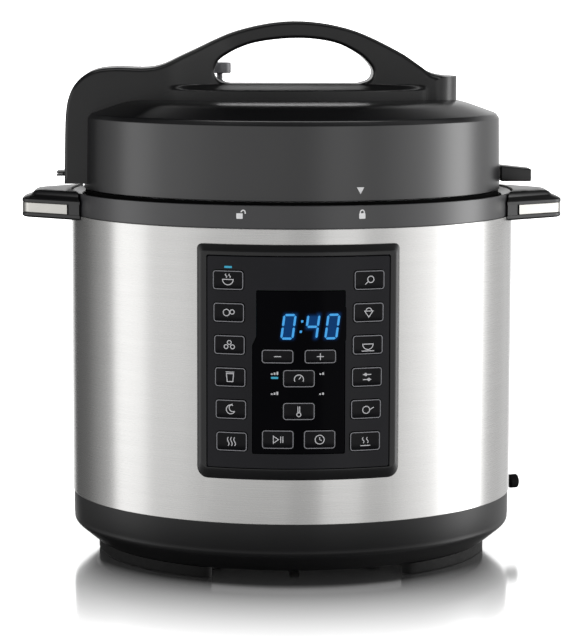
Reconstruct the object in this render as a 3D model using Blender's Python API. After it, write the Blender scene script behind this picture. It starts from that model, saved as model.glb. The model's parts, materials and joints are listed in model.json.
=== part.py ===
"""Electric pressure cooker of the six-quart class, as an assembly of separate sub-parts.

Metres, +Z up. The origin is on the floor, on the axis of the round body, and the control
panel faces -Y. Angles around the body are in degrees from the front, anticlockwise seen from
above, so the right-hand side (+X) is at 90. The lid is shown closed and locked.
"""
from math import cos, degrees, hypot, pi, radians, sin, sqrt

import bmesh
import bpy
from mathutils import Matrix, Vector

# Facets around a full turn, and the gap between neighbouring solids.
OUTER_FACETS = 48
INNER_FACETS = 36
SMALL_FACETS = 16
GAP = 0.0003

# Heights of the body, from the floor up.
FOOT_HEIGHT = 0.0067
BASE_BOTTOM = 0.0070
BASE_TOP = 0.0371
WRAP_BOTTOM = 0.0374
WRAP_TOP = 0.2103
RING_BOTTOM = 0.2106
RING_TOP = 0.2239
COLLAR_TOP = 0.2296
POT_BOTTOM = 0.0650
POT_TOP = 0.2276
LID_BOTTOM = 0.2256
LID_TOP = 0.2803

# Radii of the body.
BODY_RADIUS = 0.1370
WRAP_THICKNESS = 0.0006
BASE_RADIUS = 0.1363
FOOT_RADIUS = 0.1210
COVER_RADIUS = 0.1047
HOUSING_RADIUS = 0.1144
COLLAR_RADIUS = 0.1210
POT_RADIUS = 0.1115
LID_RADIUS = 0.1291

# Feet: three arcs under the base.
FOOT_SPAN = 61.0
FOOT_CENTRES = {"foot_right": 63.7, "foot_back": 183.7, "foot_left": 303.7}

# Lock lugs: six on the collar point outward, six on the inner lid point inward below them.
LUG_COUNT = 6
LUG_FACETS = 2
LUG_REACH = 0.0030

# Control panel. Widths are measured along the curve of the body.
BEZEL_HALF_WIDTH = 0.0605
BEZEL_LOW = 0.0640
BEZEL_HIGH = 0.2014
BEZEL_FRONT = 0.1397
PANEL_HALF_WIDTH = 0.0540
PANEL_LOW = 0.0705
PANEL_HIGH = 0.1950
PANEL_BACK = 0.1373
PANEL_FRONT = 0.1392
WINDOW_HALF_WIDTH = 0.0268
WINDOW_LOW = 0.0795
WINDOW_HIGH = 0.1752

# Keys, as (angle, height of centre, width, height of key).
KEY_WIDTH = 0.0185
KEY_HEIGHT = 0.0115
KEY_BACK = 0.1367
KEY_FRONT = 0.1397
KEY_CORNER = 0.0012
ROW_TOP = 0.1807
ROW_PITCH = 0.01886
COLUMN_ANGLE = 17.1
COLUMN_LEAN = 0.18
COLUMN_ROWS = 6
CENTRE_KEYS = {
    "key_minus": (-5.1, 0.1368, 0.0084),
    "key_plus": (5.1, 0.1368, 0.0084),
    "key_pressure": (0.0, 0.1240, 0.0105),
    "key_temperature": (0.0, 0.1048, 0.0105),
    "key_start": (-5.0, 0.0882, 0.0112),
    "key_delay": (5.0, 0.0882, 0.0112),
}

# Side handles.
HANDLE_ROOT = 0.1374
HANDLE_REACH = 0.1672
HANDLE_HALF_TIP = 0.0213
HANDLE_HALF_ROOT = 0.0443
HANDLE_CORNER = 0.0120
HANDLE_BOTTOM = 0.2078
HANDLE_TOP = 0.2249
TRIM_LOW = 0.2106
TRIM_HIGH = 0.2174
TRIM_DEPTH = 0.0013
RECESS_INNER = 0.1440
RECESS_OUTER = 0.1600
RECESS_HALF_WIDTH = 0.0180
RECESS_TOP = 0.2190

# Lid handle, an arch with an arm down the left side of the lid and a foot that flares out.
GRIP_HALF_DEPTH = 0.0155
ARM_HALF_DEPTH = 0.0260
END_HALF_DEPTH = 0.0225
FOOT_HALF_DEPTH = 0.0385
FOOT_TOP = 0.2860
FOOT_SLOPE = 0.0040
END_ROUND = 0.0140
ARM_BOTTOM = 0.2290

# Valves in the lid.
VALVE_PLACE = (-0.0447, 0.0500)
FLOAT_PLACE = (0.0120, 0.0560)

# Cord gland and condensation collector.
GLAND_ANGLE = 108.0
GLAND_HEIGHT = 0.0308
GLAND_END = 0.1560
COLLECTOR_ANGLE = 218.0
COLLECTOR_HALF_WIDTH = 0.0225
COLLECTOR_LOW = 0.1480
COLLECTOR_HIGH = 0.2000
COLLECTOR_BACK = 0.1560


# Points and outlines

def polar(radius, angle, z):
    """Point at an angle in degrees from the front of the body."""
    turn = radians(angle)
    return Vector((radius * sin(turn), -radius * cos(turn), z))


def arc(centre, radius, start, end, steps):
    """Points on an arc in a flat outline, from one angle to another in degrees."""
    turns = [radians(start + (end - start) * i / steps) for i in range(steps + 1)]
    return [(centre[0] + radius * cos(t), centre[1] + radius * sin(t)) for t in turns]


def rounded_rectangle(left, right, low, high, corner, steps=2):
    """Anticlockwise outline with round corners."""
    points = []
    points += arc((right - corner, low + corner), corner, -90, 0, steps)
    points += arc((right - corner, high - corner), corner, 0, 90, steps)
    points += arc((left + corner, high - corner), corner, 90, 180, steps)
    points += arc((left + corner, low + corner), corner, 180, 270, steps)
    return points


def smooth_path(knots, steps):
    """Catmull-Rom curve through the knots, which keeps its first and last knot."""
    padded = [knots[0]] + list(knots) + [knots[-1]]
    points = []
    for i in range(1, len(padded) - 2):
        before, start, end, after = (Vector(p) for p in padded[i - 1:i + 3])
        for step in range(steps):
            t = step / steps
            bend_in = (end - before) / 2
            bend_out = (after - start) / 2
            h = 2 * t ** 3 - 3 * t ** 2 + 1
            points.append(
                start * h
                + bend_in * (t ** 3 - 2 * t ** 2 + t)
                + end * (1 - h)
                + bend_out * (t ** 3 - t ** 2)
            )
    return [tuple(p) for p in points] + [tuple(knots[-1])]


# Solids

def spun(profile, facets):
    """Solid turned about Z from a profile of (radius, z). Ends on the axis close by themselves."""
    bm = bmesh.new()
    ring = [bm.verts.new((radius, 0, z)) for radius, z in profile]
    on_axis = profile[0][0] == 0 and profile[-1][0] == 0
    pairs = list(zip(ring, ring[1:]))
    if not on_axis:
        pairs.append((ring[-1], ring[0]))
    edges = [bm.edges.new(pair) for pair in pairs]
    bmesh.ops.spin(
        bm, geom=ring + edges, cent=(0, 0, 0), axis=(0, 0, 1), angle=2 * pi, steps=facets,
        use_merge=True,
    )
    bmesh.ops.remove_doubles(bm, verts=bm.verts, dist=1e-6)
    return bm


def swept(profile, start, end, steps):
    """Solid that carries a profile of (radius, z) around the body from one angle to another."""
    bm = bmesh.new()
    face = bm.faces.new([bm.verts.new(polar(radius, start, z)) for radius, z in profile])
    bmesh.ops.spin(
        bm, geom=[face] + list(face.edges) + list(face.verts), cent=(0, 0, 0), axis=(0, 0, 1),
        angle=radians(end - start), steps=steps,
    )
    return bm


def stack(loops, ring=False):
    """Solid through closed loops of 3-D points; a ring also joins the last loop to the first."""
    bm = bmesh.new()
    rows = [[bm.verts.new(point) for point in loop] for loop in loops]
    pairs = list(zip(rows, rows[1:]))
    if ring:
        pairs.append((rows[-1], rows[0]))
    for lower, upper in pairs:
        for i in range(len(lower)):
            j = (i + 1) % len(lower)
            bm.faces.new((lower[i], lower[j], upper[j], upper[i]))
    if not ring:
        bm.faces.new(rows[0])
        bm.faces.new(rows[-1])
    return bm


def plate(outline, near, far):
    """Flat plate with an outline of (x, z), between two distances in front of the axis."""
    return stack([[(x, -far, z) for x, z in outline], [(x, -near, z) for x, z in outline]])


def block(low, high):
    """Box between two corners."""
    bm = bmesh.new()
    bmesh.ops.create_cube(bm, size=1)
    size = Vector(high) - Vector(low)
    middle = (Vector(high) + Vector(low)) / 2
    for vert in bm.verts:
        vert.co = Vector(v * s for v, s in zip(vert.co, size)) + middle
    return bm


def slice_upright(bm, half_width, count):
    """Divide a plate by upright planes, so that it can bend."""
    for i in range(1, count):
        x = half_width * (2 * i / count - 1)
        geometry = list(bm.verts) + list(bm.edges) + list(bm.faces)
        bmesh.ops.bisect_plane(bm, geom=geometry, dist=1e-6, plane_co=(x, 0, 0), plane_no=(1, 0, 0))


def bend(bm, angle=0):
    """Wrap a flat plate around the body. Its x runs along the curve of the body."""
    for vert in bm.verts:
        x, y, z = vert.co
        vert.co = polar(-y, angle + degrees(x / BODY_RADIUS), z)
    return bm


def merge(target, *others):
    """Put other solids in the same mesh."""
    for other in others:
        mesh = bpy.data.meshes.new("merged")
        other.to_mesh(mesh)
        other.free()
        target.from_mesh(mesh)
        bpy.data.meshes.remove(mesh)
    return target


# Objects

def make_material(name, colour, roughness, metallic=0.0, alpha=1.0, glow=0.0):
    """Principled material."""
    material = bpy.data.materials.new(name)
    material.use_nodes = True
    shader = material.node_tree.nodes["Principled BSDF"]
    shader.inputs["Base Color"].default_value = (*colour, 1.0)
    shader.inputs["Roughness"].default_value = roughness
    shader.inputs["Metallic"].default_value = metallic
    shader.inputs["Alpha"].default_value = alpha
    if glow:
        shader.inputs["Emission Color"].default_value = (*colour, 1.0)
        shader.inputs["Emission Strength"].default_value = glow
    return material


def make_mesh(name, bm, material):
    """Closed mesh with its faces pointing out, smooth where it is round."""
    bmesh.ops.recalc_face_normals(bm, faces=bm.faces)
    mesh = bpy.data.meshes.new(name)
    bm.to_mesh(mesh)
    bm.free()
    mesh.shade_smooth()
    mesh.set_sharp_from_angle(angle=radians(30))
    mesh.materials.append(material)
    return mesh


def add(name, shape, material, place=(0, 0, 0), turn=0):
    """Object from a bmesh or from a mesh that others share."""
    mesh = shape if isinstance(shape, bpy.types.Mesh) else make_mesh(name, shape, material)
    obj = bpy.data.objects.new(name, mesh)
    obj.location = place
    obj.rotation_euler = (0, 0, radians(turn))
    bpy.context.scene.collection.objects.link(obj)
    return obj


def add_boolean(obj, shape, operation):
    """Cut a shape out of an object, or join it on."""
    guide = add(obj.name + "_guide", shape, obj.data.materials[0])
    guide.hide_render = True
    guide.display_type = "WIRE"
    modifier = obj.modifiers.new(operation.title(), "BOOLEAN")
    modifier.operation = operation
    modifier.solver = "EXACT"
    modifier.object = guide


def remove_everything():
    """Empty the scene."""
    for obj in list(bpy.data.objects):
        bpy.data.objects.remove(obj)


# Base and body

def build_base(black, rubber):
    """Moulded base with a rounded shoulder, its bottom cover and three arc feet."""
    shoulder = arc((BASE_RADIUS - 0.0073, 0.0220), 0.0073, 0, -45, 2)
    profile = shoulder + [
        (0.1224, 0.0078),
        (0.1212, BASE_BOTTOM),
        (0.1050, BASE_BOTTOM),
        (0.1050, 0.0095),
        (0.1195, 0.0095),
        (0.1320, 0.0190),
        (0.1338, 0.0240),
        (0.1338, 0.0440),
        (0.1359, 0.0440),
        (0.1359, BASE_TOP),
        (BASE_RADIUS, BASE_TOP),
    ]
    add("base_housing", spun(profile, OUTER_FACETS), black)

    cover = [(0, 0.0069), (COVER_RADIUS, 0.0069), (COVER_RADIUS, 0.0090), (0, 0.0090)]
    cover_obj = add("bottom_cover", spun(cover, OUTER_FACETS), black)
    slots = []
    for i in range(8):
        slot = plate(rounded_rectangle(-0.003, 0.003, 0.045, 0.075, 0.0029, 1), -0.003, 0.003)
        bmesh.ops.rotate(slot, verts=slot.verts, matrix=Matrix.Rotation(radians(90), 3, "X"))
        bmesh.ops.rotate(slot, verts=slot.verts, matrix=Matrix.Rotation(radians(45 * i), 3, "Z"))
        bmesh.ops.translate(slot, verts=slot.verts, vec=(0, 0, 0.008))
        slots.append(slot)
    add_boolean(cover_obj, merge(*slots), "DIFFERENCE")

    inner = FOOT_RADIUS - 0.0080
    section = [
        (inner, 0),
        (FOOT_RADIUS - 0.0008, 0),
        (FOOT_RADIUS, 0.0010),
        (FOOT_RADIUS, FOOT_HEIGHT),
        (inner, FOOT_HEIGHT),
    ]
    for name, centre in FOOT_CENTRES.items():
        add(name, swept(section, centre - FOOT_SPAN / 2, centre + FOOT_SPAN / 2, 8), rubber)


def build_wrap(steel):
    """Brushed steel skin with a window for the control panel."""
    inner = BODY_RADIUS - WRAP_THICKNESS
    profile = [
        (inner, WRAP_BOTTOM),
        (BODY_RADIUS, WRAP_BOTTOM),
        (BODY_RADIUS, WRAP_TOP),
        (inner, WRAP_TOP),
    ]
    wrap = add("steel_wrap", spun(profile, OUTER_FACETS), steel)
    half = PANEL_HALF_WIDTH + 0.0015
    window = plate([(-half, 0.068), (half, 0.068), (half, 0.1975), (-half, 0.1975)], 0.130, 0.145)
    slice_upright(window, half, 8)
    add_boolean(wrap, bend(window), "DIFFERENCE")


def build_top_ring(grey):
    """Ring on top of the body, with a gutter under the rim of the lid."""
    profile = [
        (BASE_RADIUS, RING_BOTTOM),
        (BASE_RADIUS, RING_TOP - 0.0014),
        (BASE_RADIUS - 0.0014, RING_TOP),
        (0.1304, RING_TOP),
        (0.1298, 0.2192),
        (0.1230, 0.2188),
        (0.1226, 0.2215),
        (0.1216, 0.2215),
        (0.1216, 0.2166),
        (0.1326, 0.2166),
        (0.1338, 0.2146),
        (0.1338, 0.2030),
        (0.1360, 0.2030),
        (0.1360, RING_BOTTOM),
    ]
    add("top_ring", spun(profile, OUTER_FACETS), grey)


def extrude_lugs(bm, radius, low, high, reach):
    """Draw out six lugs from a turned wall, between two heights."""
    bm.faces.ensure_lookup_table()
    facet = 360 / INNER_FACETS
    for i in range(LUG_COUNT):
        first = i * INNER_FACETS // LUG_COUNT
        chosen = []
        for face in bm.faces:
            middle = face.calc_center_median()
            angle = degrees(Vector((1, 0)).angle_signed(Vector((middle.x, middle.y)), 0)) * -1 % 360
            column = int(angle // facet)
            on_wall = abs(hypot(middle.x, middle.y) - radius * cos(radians(facet / 2))) < 1e-5
            if on_wall and low < middle.z < high and first <= column < first + LUG_FACETS:
                chosen.append(face)
        drawn = bmesh.ops.extrude_face_region(bm, geom=chosen)["geom"]
        bmesh.ops.delete(bm, geom=chosen, context="FACES_ONLY")
        for vert in (item for item in drawn if isinstance(item, bmesh.types.BMVert)):
            scale = (radius + reach) / radius
            vert.co.x *= scale
            vert.co.y *= scale


def build_well(aluminium, steel):
    """Inner housing that the pot stands in, and the steel collar that locks the lid."""
    inner = HOUSING_RADIUS - 0.0010
    housing = [
        (0.0700, 0.0530),
        (0.1124, 0.0530),
        (HOUSING_RADIUS, 0.0550),
        (HOUSING_RADIUS, 0.2246),
        (0.1186, 0.2246),
        (0.1186, 0.2260),
        (inner, 0.2260),
        (inner, 0.0558),
        (0.1120, 0.0542),
        (0.0700, 0.0542),
    ]
    add("inner_housing", spun(housing, INNER_FACETS), aluminium)

    collar = [
        (0.1190, 0.2060),
        (COLLAR_RADIUS, 0.2060),
        (COLLAR_RADIUS, 0.2272),
        (COLLAR_RADIUS, COLLAR_TOP),
        (0.1190, COLLAR_TOP),
    ]
    bm = spun(collar, INNER_FACETS)
    extrude_lugs(bm, COLLAR_RADIUS, 0.2272, COLLAR_TOP, LUG_REACH)
    add("locking_collar", bm, steel)


def build_heater(aluminium, steel):
    """Cast heating plate with a sprung temperature sensor in its centre."""
    cast = [
        (0.0155, 0.0546),
        (0.0920, 0.0546),
        (0.0940, 0.0570),
        (0.0930, 0.0615),
        (0.0600, 0.0640),
        (0.0155, 0.0643),
    ]
    add("heating_plate", spun(cast, INNER_FACETS), aluminium)

    sensor = [
        (0, 0.0360),
        (0.0035, 0.0360),
        (0.0035, 0.0570),
        (0.0110, 0.0580),
        (0.0120, 0.0600),
        (0.0120, 0.0640),
        (0.0108, 0.0647),
        (0, 0.0647),
    ]
    add("temperature_sensor", spun(sensor, SMALL_FACETS), steel)
    add("sensor_spring", coil(0.0062, 0.0007, 0.0420, 0.0545, 4), steel)

    bracket = [
        (0.0042, 0.0396),
        (0.0142, 0.0396),
        (0.0142, 0.0530),
        (0.0200, 0.0530),
        (0.0200, 0.0543),
        (0.0130, 0.0543),
        (0.0130, 0.0408),
        (0.0042, 0.0408),
    ]
    add("sensor_bracket", spun(bracket, SMALL_FACETS), steel)


def coil(radius, wire, low, high, turns):
    """Compression spring as a round wire wound about Z."""
    sides = 5
    steps = 9 * turns
    loops = []
    for i in range(steps + 1):
        turn = 2 * pi * i / 9
        height = low + (high - low) * i / steps
        loop = []
        for side in range(sides):
            around = 2 * pi * side / sides
            reach = radius + wire * cos(around)
            loop.append((reach * cos(turn), reach * sin(turn), height + wire * sin(around)))
        loops.append(loop)
    return stack(loops)


def build_pot(aluminium):
    """Removable cooking pot with a rolled rim."""
    wall = 0.0015
    outer_corner = arc((POT_RADIUS - 0.013, POT_BOTTOM + 0.013), 0.013, -90, 0, 3)
    inner_corner = arc((POT_RADIUS - 0.013, POT_BOTTOM + 0.013), 0.013 - wall, 0, -90, 3)
    profile = [(0, POT_BOTTOM)] + outer_corner + [
        (POT_RADIUS, POT_TOP - 0.0012),
        (0.1176, POT_TOP - 0.0012),
        (0.1176, POT_TOP),
        (POT_RADIUS - wall, POT_TOP),
    ] + inner_corner + [(0, POT_BOTTOM + wall)]
    add("cooking_pot", spun(profile, INNER_FACETS), aluminium)


# Control panel

def key_places():
    """Name of each key with its angle, height and key height."""
    places = {}
    for side, name in ((-1, "left"), (1, "right")):
        for row in range(COLUMN_ROWS):
            angle = side * (COLUMN_ANGLE - COLUMN_LEAN * row)
            places[f"key_{name}_{row + 1}"] = (angle, ROW_TOP - ROW_PITCH * row, KEY_HEIGHT)
    places.update(CENTRE_KEYS)
    return places


def key_solid(height, margin, near, far):
    """Slightly curved key, or with a margin the hole that it moves in, centred on z = 0."""
    half = KEY_WIDTH / 2 + margin
    tall = height / 2 + margin
    bm = plate(rounded_rectangle(-half, half, -tall, tall, KEY_CORNER + margin, 1), near, far)
    slice_upright(bm, half, 2)
    return bm


def key_holes(names):
    """One mesh with the holes for the named keys."""
    holes = []
    for name in names:
        angle, z, height = key_places()[name]
        hole = key_solid(height, GAP, PANEL_BACK - 0.004, PANEL_FRONT + 0.004)
        bmesh.ops.translate(hole, verts=hole.verts, vec=(0, 0, z))
        holes.append(bend(hole, angle))
    return merge(*holes)


def build_panel(black, gloss, key_plastic):
    """Bezel, key panel, display window and the 18 keys."""
    outer = (-BEZEL_HALF_WIDTH, BEZEL_HALF_WIDTH, BEZEL_LOW, BEZEL_HIGH)
    rim = (0.0035 - BEZEL_HALF_WIDTH, BEZEL_HALF_WIDTH - 0.0035, BEZEL_LOW + 0.0060, BEZEL_HIGH - 0.0045)
    hole = (-PANEL_HALF_WIDTH, PANEL_HALF_WIDTH, PANEL_LOW, PANEL_HIGH)
    levels = (
        (outer, 0.0045, PANEL_BACK),
        (outer, 0.0045, PANEL_BACK + 0.0007),
        (rim, 0.0020, BEZEL_FRONT),
        (hole, 0.0015, BEZEL_FRONT),
        (hole, 0.0015, PANEL_BACK),
    )
    loops = []
    for sides, corner, distance in levels:
        loops.append([(x, -distance, z) for x, z in rounded_rectangle(*sides, corner)])
    bezel = stack(loops, ring=True)
    slice_upright(bezel, BEZEL_HALF_WIDTH, 14)
    add("control_bezel", bend(bezel), black)

    half = PANEL_HALF_WIDTH - GAP
    sides = (
        (-half, half, PANEL_LOW + GAP, PANEL_HIGH - GAP),
        (-WINDOW_HALF_WIDTH, WINDOW_HALF_WIDTH, WINDOW_LOW, WINDOW_HIGH),
    )
    loops = []
    outer, inner = sides
    levels = ((outer, PANEL_BACK), (outer, PANEL_FRONT), (inner, PANEL_FRONT), (inner, PANEL_BACK))
    for edge, distance in levels:
        loops.append([(x, -distance, z) for x, z in rounded_rectangle(*edge, KEY_CORNER)])
    panel = stack(loops, ring=True)
    slice_upright(panel, half, 12)
    panel_obj = add("key_panel", bend(panel), black)
    side_keys = [name for name in key_places() if name not in CENTRE_KEYS]
    add_boolean(panel_obj, key_holes(side_keys), "DIFFERENCE")

    half = WINDOW_HALF_WIDTH - GAP
    outline = rounded_rectangle(-half, half, WINDOW_LOW + GAP, WINDOW_HIGH - GAP, 0.0010)
    window = plate(outline, PANEL_BACK, PANEL_FRONT)
    slice_upright(window, half, 6)
    window_obj = add("display_window", bend(window), gloss)
    add_boolean(window_obj, key_holes(CENTRE_KEYS), "DIFFERENCE")

    meshes = {}
    for name, (angle, z, height) in key_places().items():
        if height not in meshes:
            solid = key_solid(height, 0, KEY_BACK, KEY_FRONT)
            bend(solid)
            bmesh.ops.translate(solid, verts=solid.verts, vec=(0, KEY_FRONT, 0))
            meshes[height] = make_mesh(f"key_{round(height * 1e4)}", solid, key_plastic)
        add(name, meshes[height], key_plastic, polar(KEY_FRONT, angle, z), angle)


def build_electronics(circuit, glow):
    """Display block, switch mat, control board and power board."""
    add("display_module", block((-0.018, -0.1335, 0.1465), (0.024, -0.1275, 0.1635)), glow)

    mat = plate(rounded_rectangle(-0.051, 0.051, 0.078, 0.190, 0.002, 1), 0.1342, 0.1350)
    slice_upright(mat, 0.051, 10)
    mat_obj = add("switch_mat", bend(mat), circuit)
    add_boolean(mat_obj, block((-0.0235, -0.150, 0.1440), (0.0275, -0.120, 0.1680)), "DIFFERENCE")

    control = block((-0.048, -0.1212, 0.0800), (0.048, -0.1196, 0.1900))
    control_obj = add("control_board", control, circuit)
    relay = block((-0.030, -0.1204, 0.0880), (-0.012, -0.1160, 0.1020))
    chip = block((0.005, -0.1204, 0.1120), (0.019, -0.1180, 0.1260))
    add_boolean(control_obj, merge(relay, chip), "UNION")

    board = add("power_board", block((0.020, -0.036, 0.0160), (0.090, 0.036, 0.0176)), circuit)
    tall = block((0.028, -0.028, 0.0168), (0.052, -0.006, 0.0340))
    low = block((0.030, 0.008, 0.0168), (0.060, 0.026, 0.0280))
    add_boolean(board, merge(tall, low), "UNION")


# Side handles

def handle_outline(inset):
    """Plan of the right side handle, with its free edge drawn in, most of all at the tip."""
    side_inset = min(inset, 0.0020) + 0.35 * max(0.0, inset - 0.0020)
    half_root = HANDLE_HALF_ROOT - side_inset
    root_turn = degrees(half_root / HANDLE_ROOT)
    points = [polar(HANDLE_ROOT, 90 + root_turn * (1 - i / 3), 0)[:2] for i in range(7)]
    half_tip = HANDLE_HALF_TIP - side_inset
    corner = HANDLE_CORNER - inset * 0.6
    reach = HANDLE_REACH - inset
    points += arc((reach - corner, corner - half_tip), corner, -52, 0, 3)
    points += arc((reach - corner, half_tip - corner), corner, 0, 52, 3)
    return points


def build_side_handles(black, steel):
    """Side handles with a finger recess below and a metal strip let into the rim."""
    levels = (
        (HANDLE_BOTTOM, 0.0010),
        (HANDLE_BOTTOM + 0.0010, 0),
        (TRIM_LOW, 0),
        (TRIM_LOW, TRIM_DEPTH),
        (TRIM_HIGH, TRIM_DEPTH),
        (TRIM_HIGH, 0),
        (0.2190, 0),
        (0.2203, 0.0017),
        (0.2218, 0.0056),
        (0.2238, 0.0080),
        (HANDLE_TOP, 0.0125),
    )
    strip = ((TRIM_LOW + GAP, TRIM_HIGH - GAP), (TRIM_DEPTH - GAP, 0.0002))
    for side, name in ((1, "right"), (-1, "left")):
        loops = [[(side * x, y, z) for x, y in handle_outline(inset)] for z, inset in levels]
        handle = add(f"side_handle_{name}", stack(loops), black)
        ends = sorted((side * RECESS_INNER, side * RECESS_OUTER))
        recess = block(
            (ends[0], -RECESS_HALF_WIDTH, HANDLE_BOTTOM - 0.01),
            (ends[1], RECESS_HALF_WIDTH, RECESS_TOP),
        )
        add_boolean(handle, recess, "DIFFERENCE")

        (low, high), (back, front) = strip
        free = slice(7, None)
        inner = handle_outline(back)[free]
        outer = handle_outline(front)[free]
        inner = [trim_start(back, -1)] + inner + [trim_start(back, 1)]
        outer = [trim_start(front, -1)] + outer + [trim_start(front, 1)]
        loops = []
        for a, b in zip(inner, outer):
            section = ((a, low), (b, low), (b, high), (a, high))
            loops.append([(side * x, y, z) for (x, y), z in section])
        add(f"handle_trim_{name}", stack(loops), steel)


def trim_start(inset, side):
    """Where the metal strip ends, a little way out from the root of the handle."""
    outline = handle_outline(inset)
    root = Vector(outline[0 if side > 0 else 6])
    tip = Vector(outline[-1 if side > 0 else 7])
    return tuple(root.lerp(tip, 0.25))


# Lid

def lid_outside(margin=0.0):
    """Outer profile of the lid cover, from its lower edge to the axis."""
    return [
        (LID_RADIUS + margin, LID_BOTTOM - margin),
        (0.1285 + margin, 0.2675),
        (0.1277 + margin, 0.2705 + margin),
        (0.1252 + margin, 0.2727 + margin),
        (0.1150, 0.2768 + margin),
        (0.1050, 0.2798 + margin),
        (0.0900, LID_TOP + margin),
        (0, LID_TOP + margin),
    ]


def build_lid_cover(grey):
    """Moulded cover of the lid, with holes for the steam vent and the float."""
    inside = [
        (0, LID_TOP - 0.0025),
        (0.0900, LID_TOP - 0.0026),
        (0.1232, 0.2702),
        (0.1262, 0.2660),
        (0.1271, LID_BOTTOM),
    ]
    bm = spun_closed_on_axis(lid_outside() + inside, OUTER_FACETS)
    cover = add("lid_cover", bm, grey)
    holes = [cylinder(VALVE_PLACE, 0.0060, 0.270, 0.290), cylinder(FLOAT_PLACE, 0.0052, 0.270, 0.290)]
    add_boolean(cover, merge(*holes), "DIFFERENCE")


def spun_closed_on_axis(profile, facets):
    """Turned solid whose profile touches the axis between its first and last points."""
    start = next(i for i, point in enumerate(profile) if point[0] == 0)
    return spun(profile[start + 1:] + profile[:start + 1], facets)


def cylinder(place, radius, low, high, bore=0.0):
    """Upright cylinder or tube at a place on the lid."""
    if bore:
        profile = [(radius, low), (radius, high), (bore, high), (bore, low)]
    else:
        profile = [(0, low), (radius, low), (radius, high), (0, high)]
    bm = spun(profile, SMALL_FACETS)
    bmesh.ops.translate(bm, verts=bm.verts, vec=(*place, 0))
    return bm


def handle_side_outline():
    """Outline of the lid handle seen from the front, as (x, z), with its underside inside the lid."""
    crest = smooth_path(
        (
            (-0.1405, ARM_BOTTOM),
            (-0.1399, 0.2620),
            (-0.1392, 0.2738),
            (-0.1378, 0.2812),
            (-0.1346, 0.2885),
            (-0.1286, 0.2949),
            (-0.1201, 0.2988),
            (-0.1083, 0.3000),
            (-0.0850, 0.3003),
            (-0.0645, 0.3090),
            (-0.0340, 0.3224),
            (0.0000, 0.3282),
            (0.0340, 0.3238),
            (0.0642, 0.3104),
            (0.0830, 0.2982),
            (0.0950, 0.2951),
            (0.1022, 0.2947),
        ),
        3,
    )
    below = [(0.1022, LID_TOP - 0.0020), (-0.1150, LID_TOP - 0.0020), (-0.1150, ARM_BOTTOM)]
    return crest + below


def eased(value, start, end):
    """Smooth step from 0 at the start to 1 at the end."""
    share = min(1.0, max(0.0, (value - start) / (end - start)))
    return share * share * (3 - 2 * share)


def handle_depth(x, z):
    """Half the depth of the lid handle: slim at the grip, deeper at the arm and foot."""
    grip = GRIP_HALF_DEPTH
    grip += (ARM_HALF_DEPTH - GRIP_HALF_DEPTH) * eased(x, -0.0350, -0.0800)
    grip += (END_HALF_DEPTH - GRIP_HALF_DEPTH) * eased(x, 0.0400, 0.0850)
    side = 0.0160 * ((x + 0.020) / 0.105) ** 2 if x > -0.020 else 0.0125 * ((x + 0.020) / 0.055) ** 2
    foot = max(grip, FOOT_HALF_DEPTH - side)
    return grip + (foot - grip) * eased(z, FOOT_TOP + FOOT_SLOPE, FOOT_TOP)


def build_lid_handle(black, steel):
    """Arched handle with a finger opening, a flared foot and an arm down the left side."""
    bm = plate(handle_side_outline(), -GRIP_HALF_DEPTH, GRIP_HALF_DEPTH)
    planes = [((-0.1200 + 0.0200 * i, 0, 0), (1, 0, 0)) for i in range(12)]
    planes += [((0, 0, LID_TOP + GAP), (0, 0, 1))]
    planes += [((0, 0, FOOT_TOP + FOOT_SLOPE * part), (0, 0, 1)) for part in (0, 0.3, 0.6, 1)]
    planes += [((0, GRIP_HALF_DEPTH * share, 0), (0, 1, 0)) for share in (-0.8, -0.4, 0.4, 0.8)]
    for place, direction in planes:
        geometry = list(bm.verts) + list(bm.edges) + list(bm.faces)
        bmesh.ops.bisect_plane(bm, geom=geometry, dist=1e-6, plane_co=place, plane_no=direction)
    bmesh.ops.triangulate(bm, faces=bm.faces)
    for vert in bm.verts:
        share = vert.co.y / GRIP_HALF_DEPTH
        past = max(0.0, vert.co.x - 0.0800) / 0.0222
        vert.co.y *= handle_depth(vert.co.x, vert.co.z) / GRIP_HALF_DEPTH
        vert.co.x -= END_ROUND * past * (1 - sqrt(max(0.0, 1 - share * share)))
    handle = add("lid_handle", bm, black)

    opening = smooth_path(
        ((-0.0395, 0.2900), (-0.0490, 0.2960), (-0.0455, 0.3050), (-0.0250, 0.3148), (0.0020, 0.3185)), 3
    )
    opening += smooth_path(
        ((0.0250, 0.3160), (0.0420, 0.3083), (0.0515, 0.2985), (0.0465, 0.2900)), 3
    )
    add_boolean(handle, plate(opening, -0.040, 0.040), "DIFFERENCE")
    room = [(LID_RADIUS + GAP, 0.2100)] + lid_outside(GAP) + [(0, 0.2100)]
    add_boolean(handle, spun_closed_on_axis(room, OUTER_FACETS), "DIFFERENCE")

    screw = [(0, 0.2700), (0.0035, 0.2700), (0.0035, 0.2774), (0, 0.2774)]
    for side, name in ((-1, "left"), (1, "right")):
        add(f"handle_screw_{name}", spun(screw, SMALL_FACETS), steel, (0.020 + side * 0.055, 0, 0))


def build_lid_tabs(black):
    """Tabs on the sides of the lid, which park it upright in the side handles."""
    loops = []
    for x, low, high, half in ((0.1296, 0.2296, 0.2393, 0.0105), (0.1487, 0.2299, 0.2382, 0.0095)):
        loops.append([(x, -half, low), (x, half, low), (x, half, high), (x, -half, high)])
    add("lid_tab_right", stack(loops), black)
    low, high = (-0.1460, -0.0105, 0.2328), (-0.1410, 0.0105, 0.2356)
    tab = add("lid_tab_left", block(low, high), black)
    slot = block(
        (low[0] - 0.0010, low[1] - 0.0010, low[2] + 0.0009),
        (high[0] - 0.0012, high[1] + 0.0010, high[2] - 0.0009),
    )
    add_boolean(tab, slot, "DIFFERENCE")


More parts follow.
